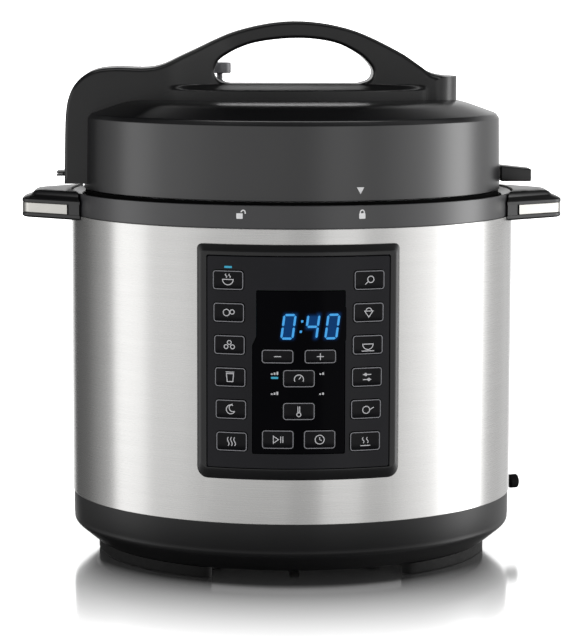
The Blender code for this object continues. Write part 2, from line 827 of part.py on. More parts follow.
def build_inner_lid(steel, silicone):
    """Steel inner lid with inward lugs, its sealing ring and the rack that holds the ring."""
    wall = 0.1250
    profile = [
        (0.1262, 0.2224),
        (0.1262, 0.2362),
        (0.1250, 0.2374),
        (0, 0.2374),
        (0, 0.2360),
        (wall, 0.2360),
        (wall, 0.2246),
        (wall, 0.2224),
    ]
    bm = spun_closed_on_axis(profile, INNER_FACETS)
    extrude_lugs(bm, wall, 0.2224, 0.2246, -0.0031)
    lid = add("inner_lid", bm, steel)
    holes = [cylinder(VALVE_PLACE, 0.0043, 0.230, 0.240), cylinder(FLOAT_PLACE, 0.0036, 0.230, 0.240)]
    add_boolean(lid, merge(*holes), "DIFFERENCE")

    ring = [
        (0.1090, 0.2290),
        (0.1176, 0.2281),
        (0.1182, 0.2310),
        (0.1172, 0.2354),
        (0.1112, 0.2354),
        (0.1096, 0.2320),
    ]
    add("sealing_ring", spun(ring, INNER_FACETS), silicone)
    rack = [(0.1052, 0.2296), (0.1082, 0.2296), (0.1084, 0.2356), (0.1064, 0.2356)]
    add("ring_rack", spun(rack, INNER_FACETS), steel)


def build_valves(steel, valve_plastic, silicone):
    """Steam vent with its weighted cap, and the float that rises under pressure."""
    add("steam_vent_pipe", cylinder((0, 0), 0.0040, 0.2300, 0.2880, bore=0.0022), steel, (*VALVE_PLACE, 0))

    cap = [
        (0, 0.2840),
        (0.0017, 0.2840),
        (0.0017, 0.2883),
        (0.0034, 0.2883),
        (0.0034, 0.2895),
        (0.0017, 0.2900),
        (0.0017, 0.2947),
        (0.0070, 0.2947),
        (0.0072, 0.2953),
        (0.0072, 0.3008),
        (0.0064, 0.3015),
        (0, 0.3015),
    ]
    add("steam_release_valve", spun(cap, SMALL_FACETS), valve_plastic, (*VALVE_PLACE, 0))

    shield = [
        (0.0046, 0.2320),
        (0.0130, 0.2320),
        (0.0130, 0.2240),
        (0.0118, 0.2240),
        (0.0118, 0.2308),
        (0.0046, 0.2308),
    ]
    add("vent_shield", spun(shield, SMALL_FACETS), steel, (*VALVE_PLACE, 0))

    pin = [
        (0, 0.2300),
        (0.0022, 0.2300),
        (0.0032, 0.2320),
        (0.0032, 0.2377),
        (0.0048, 0.2377),
        (0.0048, 0.2392),
        (0.0032, 0.2392),
        (0.0032, 0.2780),
        (0.0046, 0.2784),
        (0.0046, 0.2802),
        (0, 0.2806),
    ]
    add("float_valve", spun(pin, SMALL_FACETS), steel, (*FLOAT_PLACE, 0))
    seal = [(0, 0.2255), (0.0048, 0.2255), (0.0060, 0.2280), (0.0060, 0.2297), (0, 0.2297)]
    add("float_seal", spun(seal, SMALL_FACETS), silicone, (*FLOAT_PLACE, 0))


# Back of the body

def build_gland(rubber):
    """Gland where the power cord would leave, with an empty hole in its end."""
    profile = [
        (0.0036, BODY_RADIUS),
        (0.0036, GLAND_END - 0.0065),
        (0.0045, GLAND_END - 0.0050),
        (0.0045, GLAND_END - 0.0008),
        (0.0037, GLAND_END),
        (0.0028, GLAND_END),
        (0.0028, GLAND_END - 0.0100),
        (0, GLAND_END - 0.0100),
        (0, BODY_RADIUS),
    ]
    start = next(i for i, point in enumerate(profile) if point[0] == 0)
    bm = spun(profile[start + 1:] + profile[:start + 1], SMALL_FACETS)
    bmesh.ops.rotate(bm, verts=bm.verts, matrix=Matrix.Rotation(radians(90), 3, "X"))
    add("cord_gland", bm, rubber, (0, 0, GLAND_HEIGHT), GLAND_ANGLE)


def build_collector(black, clear):
    """Cup for condensed water, and the bracket that it clips to."""
    half = COLLECTOR_HALF_WIDTH
    outline = rounded_rectangle(-half, half, 0.1500, 0.2025, 0.003, 1)
    bracket = plate(outline, 0.1374, 0.1392)
    slice_upright(bracket, half, 4)
    add("collector_bracket", bend(bracket, COLLECTOR_ANGLE), black)

    outline = rounded_rectangle(-half, half, COLLECTOR_LOW, COLLECTOR_HIGH, 0.004, 2)
    cup = plate(outline, 0.1396, COLLECTOR_BACK)
    slice_upright(cup, half, 4)
    cup_obj = add("condensation_collector", bend(cup, COLLECTOR_ANGLE), clear)
    half -= 0.0018
    outline = rounded_rectangle(-half, half, COLLECTOR_LOW + 0.0018, COLLECTOR_HIGH + 0.01, 0.003, 2)
    hollow = plate(outline, 0.1414, COLLECTOR_BACK - 0.0018)
    slice_upright(hollow, half, 4)
    add_boolean(cup_obj, bend(hollow, COLLECTOR_ANGLE), "DIFFERENCE")


def main():
    remove_everything()
    black = make_material("black_plastic", (0.018, 0.018, 0.020), 0.38)
    grey = make_material("grey_plastic", (0.060, 0.060, 0.064), 0.34)
    gloss = make_material("gloss_black", (0.004, 0.004, 0.005), 0.08)
    valve_plastic = make_material("valve_plastic", (0.22, 0.22, 0.23), 0.34)
    key_plastic = make_material("key_plastic", (0.030, 0.030, 0.033), 0.22)
    brushed = make_material("brushed_steel", (0.62, 0.61, 0.60), 0.28, 1.0)
    steel = make_material("steel", (0.60, 0.60, 0.61), 0.25, 1.0)
    aluminium = make_material("aluminium", (0.70, 0.71, 0.72), 0.35, 1.0)
    rubber = make_material("rubber", (0.012, 0.012, 0.012), 0.60)
    silicone = make_material("silicone", (0.70, 0.71, 0.70), 0.50)
    circuit = make_material("circuit_board", (0.020, 0.150, 0.060), 0.50)
    glow = make_material("display", (0.05, 0.45, 1.00), 0.40, glow=2.0)
    clear = make_material("clear_plastic", (0.55, 0.57, 0.60), 0.12, alpha=0.5)

    build_base(black, rubber)
    build_wrap(brushed)
    build_top_ring(grey)
    build_well(aluminium, steel)
    build_heater(aluminium, steel)
    build_pot(aluminium)
    build_panel(black, gloss, key_plastic)
    build_electronics(circuit, glow)
    build_side_handles(black, brushed)
    build_lid_cover(grey)
    build_lid_handle(black, steel)
    build_lid_tabs(black)
    build_inner_lid(steel, silicone)
    build_valves(steel, valve_plastic, silicone)
    build_gland(rubber)
    build_collector(black, clear)


main()
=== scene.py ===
"""Looks of an electric pressure cooker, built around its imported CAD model.

Metres, in the CAD frame: +Z up, and the control panel faces -Y. Angles are in degrees from
the front, anticlockwise seen from above. Flat outlines on the panel are (x, z), where x runs
along the curve of the body.
"""
import json
from math import cos, degrees, pi, radians, sin, sqrt, tan

import bmesh
import bpy
from mathutils import Matrix, Vector


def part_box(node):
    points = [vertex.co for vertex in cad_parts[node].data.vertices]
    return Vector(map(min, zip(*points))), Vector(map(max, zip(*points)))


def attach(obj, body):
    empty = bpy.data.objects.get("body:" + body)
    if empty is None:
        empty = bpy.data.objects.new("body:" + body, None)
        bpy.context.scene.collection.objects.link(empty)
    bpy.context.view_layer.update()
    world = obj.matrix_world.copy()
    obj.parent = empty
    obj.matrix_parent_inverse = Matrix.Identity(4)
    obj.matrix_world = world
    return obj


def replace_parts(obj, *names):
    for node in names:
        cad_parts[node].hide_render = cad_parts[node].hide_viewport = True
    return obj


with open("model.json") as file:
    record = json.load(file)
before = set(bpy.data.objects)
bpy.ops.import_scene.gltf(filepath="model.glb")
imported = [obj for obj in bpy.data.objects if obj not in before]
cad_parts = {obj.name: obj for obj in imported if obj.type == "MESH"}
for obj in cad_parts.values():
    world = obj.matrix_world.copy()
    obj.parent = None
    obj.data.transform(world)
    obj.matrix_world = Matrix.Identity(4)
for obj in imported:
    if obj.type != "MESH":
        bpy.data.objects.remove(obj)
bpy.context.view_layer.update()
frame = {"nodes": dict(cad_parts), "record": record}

# Facets around a full turn, and around small round parts.
TURN_STEPS = 144
SMALL_STEPS = 40

# Heights and radii of the body, from the frame.
WRAP_LOW, WRAP_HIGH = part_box("steel_wrap")
BODY_RADIUS = WRAP_HIGH.x
BASE_LOW, BASE_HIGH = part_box("base_housing")
BASE_RADIUS = BASE_HIGH.x
RING_LOW, RING_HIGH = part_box("top_ring")
LID_LOW, LID_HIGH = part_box("lid_cover")
LID_RADIUS = LID_HIGH.x
HANDLE_LOW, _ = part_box("lid_handle")
POT_LOW, POT_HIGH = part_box("cooking_pot")

# Fronts of the control panel, as distances from the axis of the body.
BEZEL_FRONT = -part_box("control_bezel")[0].y
PANEL_FRONT = -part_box("key_panel")[0].y
KEY_FRONT = BEZEL_FRONT
PANEL_BACK = BODY_RADIUS + 0.0003

# The angle of each key around the body.
COLUMN_ANGLE = 17.1
COLUMN_LEAN = 0.18
COLUMN_ROWS = 6
KEY_GAP = 0.0003

# Ink lies this far above the surface that it is printed on.
INK = 0.00005

RECORD = frame["record"]
BODY_OF = {n: body for body, nodes in RECORD["behaviour"]["bodies"].items() for n in nodes}
SLOT_OF = {part["node"]: part["material_slot"] for part in RECORD["subparts"]}


# Outlines

def polar(radius, angle, z):
    """Point at an angle in degrees from the front of the body."""
    turn = radians(angle)
    return Vector((radius * sin(turn), -radius * cos(turn), z))


def rounded(corners, steps=5):
    """Closed outline. Each corner is (x, z), or (x, z, radius) where it is round."""
    points = []
    for i, corner in enumerate(corners):
        here = Vector(corner[:2])
        if len(corner) == 2:
            points.append(tuple(here))
            continue
        before = Vector(corners[i - 1][:2]) - here
        after = Vector(corners[(i + 1) % len(corners)][:2]) - here
        reach = corner[2] / tan(before.angle(after) / 2)
        start = here + before.normalized() * min(reach, before.length * 0.49)
        end = here + after.normalized() * min(reach, after.length * 0.49)
        for step in range(steps + 1):
            t = step / steps
            points.append(tuple(start * (1 - t) ** 2 + here * 2 * t * (1 - t) + end * t ** 2))
    return points


def rounded_box(left, right, low, high, corner, steps=6, top=None):
    """Anticlockwise outline of a rectangle with round corners, which may differ at the top."""
    top = top or corner
    points = []
    centres = (
        (right - corner, low + corner, -90, corner), (right - top, high - top, 0, top),
        (left + top, high - top, 90, top), (left + corner, low + corner, 180, corner),
    )
    for x, z, start, radius in centres:
        for step in range(steps + 1):
            turn = radians(start + 90 * step / steps)
            points.append((x + radius * cos(turn), z + radius * sin(turn)))
    return points


def smooth_path(knots, steps):
    """Catmull-Rom curve through the knots, which keeps its first and last knot."""
    padded = [knots[0]] + list(knots) + [knots[-1]]
    points = []
    for i in range(1, len(padded) - 2):
        before, start, end, after = (Vector(p) for p in padded[i - 1:i + 3])
        for step in range(steps):
            t = step / steps
            points.append(tuple(
                start * (2 * t ** 3 - 3 * t ** 2 + 1)
                + (end - before) / 2 * (t ** 3 - 2 * t ** 2 + t)
                + end * (3 * t ** 2 - 2 * t ** 3)
                + (after - start) / 2 * (t ** 3 - t ** 2)
            ))
    return points + [tuple(knots[-1])]


def offset(points, distance):
    """Closed anticlockwise outline moved outward by a distance, or inward if it is negative."""
    moved = []
    for i, point in enumerate(points):
        here = Vector(point)
        back = (here - Vector(points[i - 1])).normalized()
        ahead = (Vector(points[(i + 1) % len(points)]) - here).normalized()
        along = (back + ahead).normalized()
        out = Vector((along.y, -along.x))
        stretch = 1 / max(0.5, out.dot(Vector((back.y, -back.x))))
        moved.append(tuple(here + out * distance * stretch))
    return moved


# Meshes

def mesh_of(name, bm):
    """Mesh data from a mesh under construction, which ends with this."""
    mesh = bpy.data.meshes.new(name)
    bm.to_mesh(mesh)
    bm.free()
    return mesh


def new_object(name, data):
    """Object in the scene with the given data."""
    obj = bpy.data.objects.new(name, data)
    bpy.context.scene.collection.objects.link(obj)
    return obj


def skin(bm, rows, closed=False):
    """Faces between neighbouring rows of vertices, where each row is a closed loop."""
    pairs = list(zip(rows, rows[1:]))
    if closed:
        pairs.append((rows[-1], rows[0]))
    for lower, upper in pairs:
        for i in range(len(lower)):
            j = (i + 1) % len(lower)
            bm.faces.new((lower[i], lower[j], upper[j], upper[i]))


def turned(profile, steps=TURN_STEPS, start=0.0, end=360.0):
    """Solid turned around Z from a closed profile of corners, or a part of the turn."""
    profile = rounded(profile)
    bm = bmesh.new()
    full = end - start == 360
    rows = []
    for i in range(steps if full else steps + 1):
        angle = start + (end - start) * i / steps
        rows.append([bm.verts.new(polar(radius, angle, z)) for radius, z in profile])
    pairs = list(zip(rows, rows[1:]))
    if full:
        pairs.append((rows[-1], rows[0]))
    for one, other in pairs:
        for i in range(len(profile)):
            j = (i + 1) % len(profile)
            if profile[i][0] or profile[j][0]:
                bm.faces.new((one[i], one[j], other[j], other[i]))
    if not full:
        bm.faces.new(rows[0])
        bm.faces.new(rows[-1])
    bmesh.ops.remove_doubles(bm, verts=bm.verts, dist=1e-7)
    return bm


def stack(loops, closed=False):
    """Solid through closed loops of 3-D points; if closed, the last loop joins the first."""
    bm = bmesh.new()
    rows = [[bm.verts.new(point) for point in loop] for loop in loops]
    skin(bm, rows, closed)
    if not closed:
        bm.faces.new(rows[0])
        bm.faces.new(rows[-1])
    return bm


def levelled(levels, closed=False):
    """Plate on the panel, through (outline, distance from the axis) levels, still flat."""
    return stack([[(x, -far, z) for x, z in outline] for outline, far in levels], closed)


def slice_by(bm, planes):
    """Divide a mesh by planes of (place, direction)."""
    for place, direction in planes:
        geometry = list(bm.verts) + list(bm.edges) + list(bm.faces)
        bmesh.ops.bisect_plane(bm, geom=geometry, dist=1e-7, plane_co=place, plane_no=direction)


def bend(bm, angle=0.0, spacing=0.0020):
    """Wrap a flat plate around the body, with its x along the curve of the body."""
    xs = [vert.co.x for vert in bm.verts]
    low, high = min(xs), max(xs)
    count = int((high - low) / spacing) + 1
    slice_by(bm, [((low + (high - low) * i / count, 0, 0), (1, 0, 0)) for i in range(1, count)])
    for vert in bm.verts:
        x, y, z = vert.co
        vert.co = polar(-y, angle + degrees(x / BODY_RADIUS), z)
    return bm


def moved(bm, *shift):
    """The same mesh, moved."""
    bmesh.ops.translate(bm, verts=bm.verts, vec=shift)
    return bm


def together(*parts):
    """Several meshes as one."""
    whole = parts[0]
    for part in parts[1:]:
        mesh = mesh_of("part", part)
        whole.from_mesh(mesh)
        bpy.data.meshes.remove(mesh)
    return whole


def combine(bm, other, operation="DIFFERENCE"):
    """Cut one closed mesh from another, or join them into one skin."""
    objects = []
    for part in (bm, other):
        bmesh.ops.recalc_face_normals(part, faces=part.faces)
        objects.append(new_object("part", mesh_of("part", part)))
    modifier = objects[0].modifiers.new("combine", "BOOLEAN")
    modifier.operation = operation
    modifier.solver = "EXACT"
    modifier.object = objects[1]
    shape = objects[0].evaluated_get(bpy.context.evaluated_depsgraph_get())
    result = bmesh.new()
    result.from_mesh(shape.to_mesh())
    shape.to_mesh_clear()
    for obj in objects:
        mesh = obj.data
        bpy.data.objects.remove(obj)
        bpy.data.meshes.remove(mesh)
    bmesh.ops.remove_doubles(result, verts=result.verts, dist=1e-6)
    return result


def block(low, high, bevel=0.0):
    """Box between two corners, with round edges if a bevel is given."""
    bm = bmesh.new()
    bmesh.ops.create_cube(bm, size=1)
    middle = (Vector(high) + Vector(low)) / 2
    for vert in bm.verts:
        vert.co = Vector(v * (b - a) for v, a, b in zip(vert.co, low, high)) + middle
    if bevel:
        bmesh.ops.bevel(bm, geom=bm.edges, offset=bevel, segments=4, profile=0.5, affect="EDGES")
    return bm


# Pieces

def add_piece(name, bm, material, body, sharp=32):
    """Object that rides on a CAD body, with its sharp edges found by angle."""
    bmesh.ops.recalc_face_normals(bm, faces=bm.faces)
    mesh = mesh_of(name, bm)
    mesh.shade_smooth()
    mesh.set_sharp_from_angle(angle=radians(sharp))
    mesh.materials.append(material)
    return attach(new_object(name, mesh), body)


def stand_in(node, bm, material, sharp=32):
    """Finer piece that is shown in place of a CAD node."""
    obj = add_piece(f"{node}_detailed", bm, material, BODY_OF[node], sharp)
    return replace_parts(obj, node)


def turned_piece(node, profile, material, centre=None):
    """Finer piece for a CAD node, turned around Z, or around a centre if it is a small one."""
    bm = turned(profile, SMALL_STEPS if centre else TURN_STEPS)
    return stand_in(node, moved(bm, *(centre or (0, 0, 0))), material)


def extra(name, node, bm, material):
    """Piece without a CAD node of its own, such as a printed mark, that moves with a node."""
    obj = add_piece(name, bm, material, BODY_OF[node])
    return obj


# Materials

class Graph:
    """Node tree with short ways to add its nodes."""

    def __init__(self, tree, place="Object"):
        self.tree = tree
        self.place = self.node("ShaderNodeTexCoord").outputs[place]

    def node(self, kind, inputs=(), **settings):
        """New node with settings. Each input is given a value, or is linked to an output."""
        made = self.tree.nodes.new(kind)
        for key, value in settings.items():
            setattr(made, key, value)
        for key, value in dict(inputs).items():
            if isinstance(value, bpy.types.NodeSocket):
                self.link(value, made.inputs[key])
            else:
                made.inputs[key].default_value = value
        return made

    def link(self, output, target):
        self.tree.links.new(output, target)

    def math(self, operation, *values):
        return self.node("ShaderNodeMath", enumerate(values), operation=operation).outputs[0]

    def vector(self, operation, *values):
        return self.node("ShaderNodeVectorMath", enumerate(values), operation=operation).outputs[0]

    def parts(self):
        """X, Y and Z of the place."""
        return self.node("ShaderNodeSeparateXYZ", {0: self.place}).outputs

    def noise(self, vector, scale=1.0, detail=3.0, roughness=0.55):
        inputs = {"Vector": vector, "Scale": scale, "Detail": detail, "Roughness": roughness}
        return self.node("ShaderNodeTexNoise", inputs).outputs["Fac"]

    def span(self, value, low, high, start=0.3, end=0.7):
        """A value stretched between two limits; a noise lies between 0.3 and 0.7."""
        limits = {"From Min": start, "From Max": end, "To Min": low, "To Max": high}
        return self.node("ShaderNodeMapRange", {"Value": value, **limits}).outputs["Result"]

    def ramp(self, value, low, high, stops):
        """Grey ramp through the stops, over a range of the value."""
        made = self.node("ShaderNodeValToRGB", {"Fac": self.span(value, 0, 1, low, high)})
        first, last = stops[0][0], stops[-1][0]
        elements = made.color_ramp.elements
        while len(elements) < len(stops):
            elements.new(0.5)
        for element, (place, grey) in zip(elements, stops):
            element.position = (place - first) / (last - first)
            element.color = (grey, grey, grey, 1)
        return made.outputs["Color"]


class Surface(Graph):
    """Node tree of a new material."""

    def __init__(self, name):
        self.material = bpy.data.materials.new(name)
        self.material.use_nodes = True
        super().__init__(self.material.node_tree)
        self.inputs = self.tree.nodes["Principled BSDF"].inputs

    def set(self, **values):
        for key, value in values.items():
            self.inputs[key.replace("_", " ")].default_value = value

    def tint(self, value, one, other):
        """Base colour that a noise varies between two colours."""
        inputs = {"Factor": self.span(value, 0, 1), "A": (*one, 1), "B": (*other, 1)}
        colour = self.node("ShaderNodeMix", inputs, data_type="RGBA").outputs["Result"]
        self.link(colour, self.inputs["Base Color"])
        return colour

    def gloss(self, value, low, high):
        """Roughness that a noise varies."""
        self.link(self.span(value, low, high), self.inputs["Roughness"])

    def bump(self, height, strength, distance):
        inputs = {"Strength": strength, "Distance": distance, "Height": height}
        self.link(self.node("ShaderNodeBump", inputs).outputs["Normal"], self.inputs["Normal"])

    def streaks(self, around, along):
        """Fine lines that run around the axis, on a wall or on a face of a turned shape."""
        x, y, z = self.parts()
        angle = self.math("ARCTAN2", x, self.math("MULTIPLY", y, -1.0))
        squares = self.math("ADD", self.math("POWER", x, 2.0), self.math("POWER", y, 2.0))
        run = self.math("ADD", self.math("SQRT", squares), z)
        inputs = {0: self.math("MULTIPLY", angle, around), 1: self.math("MULTIPLY", run, along)}
        return self.node("ShaderNodeCombineXYZ", inputs).outputs[0]


def shade(colour, factor):
    """A lighter or darker colour."""
    return tuple(channel * factor for channel in colour)


def moulded(name, colour, roughness, grain=0.12, **settings):
    """Moulded plastic: a faint mottle in its colour and gloss, and a fine spark-eroded grain."""
    g = Surface(name)
    g.tint(g.noise(g.place, scale=38, detail=4), shade(colour, 0.88), shade(colour, 1.12))
    g.gloss(g.noise(g.place, scale=900, detail=2), roughness * 0.98, roughness * 1.02)
    g.bump(g.noise(g.place, scale=2600, detail=2), grain, 0.00004)
    g.set(**settings)
    return g.material


def brushed(name, colour, roughness, anisotropy, around=5.0, along=1700.0):
    """Metal brushed around the axis: fine streaks in colour, gloss and height."""
    g = Surface(name)
    fine = g.noise(g.streaks(around, along), detail=4, roughness=0.7)
    broad = g.noise(g.streaks(around * 0.4, along * 0.06), detail=3)
    both = g.math("ADD", g.math("MULTIPLY", fine, 0.7), g.math("MULTIPLY", broad, 0.3))
    g.tint(both, shade(colour, 0.94), shade(colour, 1.05))
    g.gloss(fine, roughness - 0.04, roughness + 0.05)
    g.bump(fine, 0.06, 0.00002)
    tangent = g.node("ShaderNodeTangent", direction_type="RADIAL", axis="Z")
    g.link(tangent.outputs[0], g.inputs["Tangent"])
    g.set(Metallic=1.0, Anisotropic=anisotropy, Anisotropic_Rotation=0.25)
    return g.material


def glossy(name, colour, roughness, **settings):
    """Polished plastic or glass, with faint smears in its gloss."""
    g = Surface(name)
    smear = g.noise(g.vector("MULTIPLY", g.place, (30, 30, 90)), detail=5, roughness=0.6)
    g.tint(smear, shade(colour, 0.9), shade(colour, 1.1))
    g.gloss(smear, roughness * 0.7, roughness * 1.4)
    g.set(**settings)
    return g.material


def printed(name, colour, strength=0.0):
    """Pad-printed ink, slightly uneven, or a lit mark if it has a strength."""
    g = Surface(name)
    tone = g.tint(g.noise(g.place, scale=3000, detail=2), shade(colour, 0.90), colour)
    g.set(Roughness=0.45)
    if strength:
        g.link(tone, g.inputs["Emission Color"])
        g.set(Emission_Strength=strength)
    return g.material


def rubbery(name, colour, roughness=0.62, **settings):
    """Rubber or silicone: dull, with a fine dusty mottle."""
    g = Surface(name)
    dust = g.noise(g.place, scale=420, detail=5, roughness=0.7)
    g.tint(dust, shade(colour, 0.85), shade(colour, 1.25))
    g.gloss(dust, roughness - 0.08, roughness + 0.08)
    g.bump(dust, 0.15, 0.00005)
    g.set(**settings)
    return g.material


def circuit_board_material():
    """Green lacquer over a grid of lighter copper tracks."""
    g = Surface("circuit_lacquer")
    inputs = {
        "Vector": g.place,
        "Scale": 160,
        "Mortar Size": 0.03,
        "Color1": (0.010, 0.085, 0.035, 1),
        "Color2": (0.014, 0.110, 0.045, 1),
        "Mortar": (0.05, 0.26, 0.10, 1),
    }
    g.link(g.node("ShaderNodeTexBrick", inputs).outputs["Color"], g.inputs["Base Color"])
    g.gloss(g.noise(g.place, scale=200), 0.30, 0.45)
    return g.material


def display_haze(boxes, slant, colour):
    """Black window whose glow fades with the distance from lit boxes that lean by a slant."""
    g = Surface("display_haze")
    x, _, z = g.parts()
    upright = g.math("SUBTRACT", x, g.math("MULTIPLY", z, slant))
    distance = 1.0
    for low, high in boxes:
        outside = []
        for output, a, b in ((upright, low[0], high[0]), (z, low[1], high[1])):
            off = g.math("ABSOLUTE", g.math("SUBTRACT", output, (a + b) / 2))
            away = g.math("MAXIMUM", g.math("SUBTRACT", off, (b - a) / 2), 0.0)
            outside.append(g.math("POWER", away, 2.0))
        distance = g.math("MINIMUM", g.math("SQRT", g.math("ADD", *outside)), distance)
    fade = g.math("POWER", g.span(distance, 1.0, 0.0, 0.0, 0.0030), 3.0)
    grain = g.span(g.noise(g.place, scale=1200), 0.9, 1.05)
    g.link(g.math("MULTIPLY", fade, grain), g.inputs["Emission Strength"])
    g.set(Base_Color=(0.0008, 0.0008, 0.0015, 1), Emission_Color=(*colour, 1))
    g.set(Roughness=0.07, Specular_IOR_Level=0.03)
    return g.material


BLACK = moulded("satin_black", (0.006, 0.006, 0.0065), 0.32)
BASE_BLACK = moulded("base_black", (0.008, 0.008, 0.0085), 0.38, Specular_IOR_Level=0.33)
# Dull black for undersides, and for the band of painted shade in the gap under the lid.
UNDERSIDE_AND_GAP_SHADE_BLACK = moulded("underside_and_gap_shade_black", (0.005, 0.005, 0.005), 0.70, Specular_IOR_Level=0.02)
LID_GREY = moulded("lid_grey", (0.004, 0.004, 0.005), 0.28, 0.012, Specular_IOR_Level=0.92)
RING_GREY = moulded("ring_grey", (0.008, 0.008, 0.010), 0.30, 0.05, Specular_IOR_Level=0.96)
PANEL_BLACK = moulded("panel_black", (0.005, 0.005, 0.0075), 0.30, 0.06, Specular_IOR_Level=0.24)
BEZEL_BLACK = moulded("bezel_black", (0.005, 0.005, 0.0055), 0.30, Specular_IOR_Level=0.48)
KEY_BLACK = glossy("key_black", (0.003, 0.003, 0.004), 0.16, Specular_IOR_Level=0.14)
WINDOW_BLACK = glossy("window_black", (0.0008, 0.0008, 0.0015), 0.07, Specular_IOR_Level=0.03)
VALVE_GREY = moulded("valve_grey", (0.28, 0.28, 0.30), 0.30)
SKIN_STEEL = brushed("brushed_skin", (0.68, 0.675, 0.665), 0.27, 0.80, around=4.0, along=3400.0)
TRIM_STEEL = brushed("brushed_trim", (0.56, 0.55, 0.52), 0.30, 0.5, around=3.0, along=2400.0)
STEEL = brushed("turned_steel", (0.60, 0.60, 0.61), 0.24, 0.4, around=3.0, along=1100.0)
ALUMINIUM = brushed("spun_aluminium", (0.72, 0.73, 0.74), 0.34, 0.4, around=2.0, along=800.0)
RUBBER = rubbery("black_rubber", (0.005, 0.005, 0.005), Specular_IOR_Level=0.15)
SILICONE = rubbery("white_silicone", (0.66, 0.67, 0.66), 0.45, Subsurface_Weight=0.4,
                   Subsurface_Scale=0.004)
CIRCUIT = circuit_board_material()
CLEAR = glossy("smoked_clear", (0.42, 0.44, 0.46), 0.10, Transmission_Weight=0.85, IOR=1.49)
KEY_LINE = printed("key_line", (0.23, 0.23, 0.25))
WHITE_INK = printed("white_ink", (0.80, 0.80, 0.81))
SOFT_INK = printed("soft_ink", (0.58, 0.58, 0.60))
CYAN_LAMP = printed("cyan_lamp", (0.015, 0.20, 0.30), 0.9)
BLUE_LAMP = printed("blue_lamp", (0.022, 0.21, 0.47), 1.0)

NODE_MATERIALS = {
    "black_plastic": BLACK,
    "grey_plastic": LID_GREY,
    "gloss_black": WINDOW_BLACK,
    "key_plastic": KEY_BLACK,
    "brushed_steel": SKIN_STEEL,
    "steel": STEEL,
    "aluminium": ALUMINIUM,
    "valve_plastic": VALVE_GREY,
    "rubber": RUBBER,
    "silicone": SILICONE,
    "circuit_board": CIRCUIT,
    "display": BLUE_LAMP,
    "clear_plastic": CLEAR,
}


def dress_nodes():
    """A procedural material for every CAD node, shown or not."""
    for name, obj in frame["nodes"].items():
        material = UNDERSIDE_AND_GAP_SHADE_BLACK if name == "bottom_cover" else NODE_MATERIALS[SLOT_OF[name]]
        obj.data.materials.clear()
        obj.data.materials.append(material)


# Base, feet and body

def build_base():
    """Base with a rounded shoulder and a fine parting line, and three arc feet."""
    top, bottom = BASE_HIGH.z, BASE_LOW.z
    profile = [
        (BASE_RADIUS - 0.0025, top), (BASE_RADIUS, top, 0.0006), (BASE_RADIUS, 0.0226),
        (BASE_RADIUS - 0.0002, 0.0222), (BASE_RADIUS - 0.0002, 0.0185, 0.0065),
        (0.1226, bottom + 0.0004, 0.0045), (0.1200, bottom), (0.1050, bottom),
        (0.1050, bottom + 0.0025), (0.1195, bottom + 0.0025), (0.1320, 0.0190), (0.1338, 0.0240),
    ]
    turned_piece("base_housing", profile, BASE_BLACK)
    for name in ("foot_left", "foot_right", "foot_back"):
        stand_in(name, foot(name), RUBBER)


def foot(name):
    """Arc-shaped foot with round ends."""
    low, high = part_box(name)
    centre = {"foot_right": 63.7, "foot_back": 183.7, "foot_left": 303.7}[name]
    half_span = 30.5
    radius = 0.1210
    width = 0.0080
    levels = ((high.z, 0.0), (0.0012, 0.0), (0.0005, 0.0002), (0.0001, 0.0007), (low.z, 0.0014))
    loops = []
    for z, inset in levels:
        end = width / 2 - inset
        tilt = degrees(width / 2 / radius)
        loop = []
        for side in (1, -1):
            last = centre + side * (half_span - tilt)
            middle = polar(radius - width / 2, last, z)
            first_turn = last if side == 1 else last + 180
            for step in range(9):
                turn = radians(first_turn + 180 * step / 8)
                loop.append(middle + Vector((sin(turn), -cos(turn), 0)) * end)
            edge = radius - width + inset if side == 1 else radius - inset
            for step in range(1, 24):
                spread = side * (half_span - tilt) * (1 - step / 12)
                loop.append(polar(edge, centre + spread, z))
        loops.append(loop)
    return stack(loops)


def build_body():
    """Brushed steel skin with rolled edges, the grey ring on top of it, and a black band of painted
    shade in the gap under the lid.
    """
    low, high = WRAP_LOW.z, WRAP_HIGH.z
    profile = [
        (BODY_RADIUS - 0.0006, low), (BODY_RADIUS, low, 0.0004), (BODY_RADIUS, high, 0.0004),
        (BODY_RADIUS - 0.0006, high),
    ]
    outline = rounded_box(-0.0555, 0.0555, 0.068, 0.1975, 0.002)
    hole = bend(levelled([(outline, 0.130), (outline, 0.145)]), spacing=0.006)
    stand_in("steel_wrap", combine(turned(profile, 180), hole), SKIN_STEEL)

    low, high = RING_LOW.z, RING_HIGH.z
    skirt = 0.2106
    profile = [
        (BASE_RADIUS, skirt, 0.0003), (BASE_RADIUS, high, 0.0005),
        (BASE_RADIUS - 0.0010, high, 0.0005), (0.1304, high - 0.0020, 0.0006),
        (0.1298, 0.2192, 0.0008), (0.1230, 0.2188, 0.0006), (0.1226, 0.2215, 0.0003),
        (0.1216, 0.2215, 0.0003), (0.1216, 0.2166), (0.1326, 0.2166), (0.1338, 0.2146),
        (0.1338, low), (0.1360, low), (0.1360, skirt),
    ]
    turned_piece("top_ring", profile, RING_GREY)
    # Matte black band inside the ring, under the lid's edge: painted shade, so the gap between ring and
    # lid reads as shadow.
    lip = [(0.1270, 0.2187), (0.1284, 0.2187), (0.1284, 0.2253), (0.1270, 0.2253)]
    extra("ring_inner_lip", "top_ring", turned(lip), UNDERSIDE_AND_GAP_SHADE_BLACK)


# Control panel

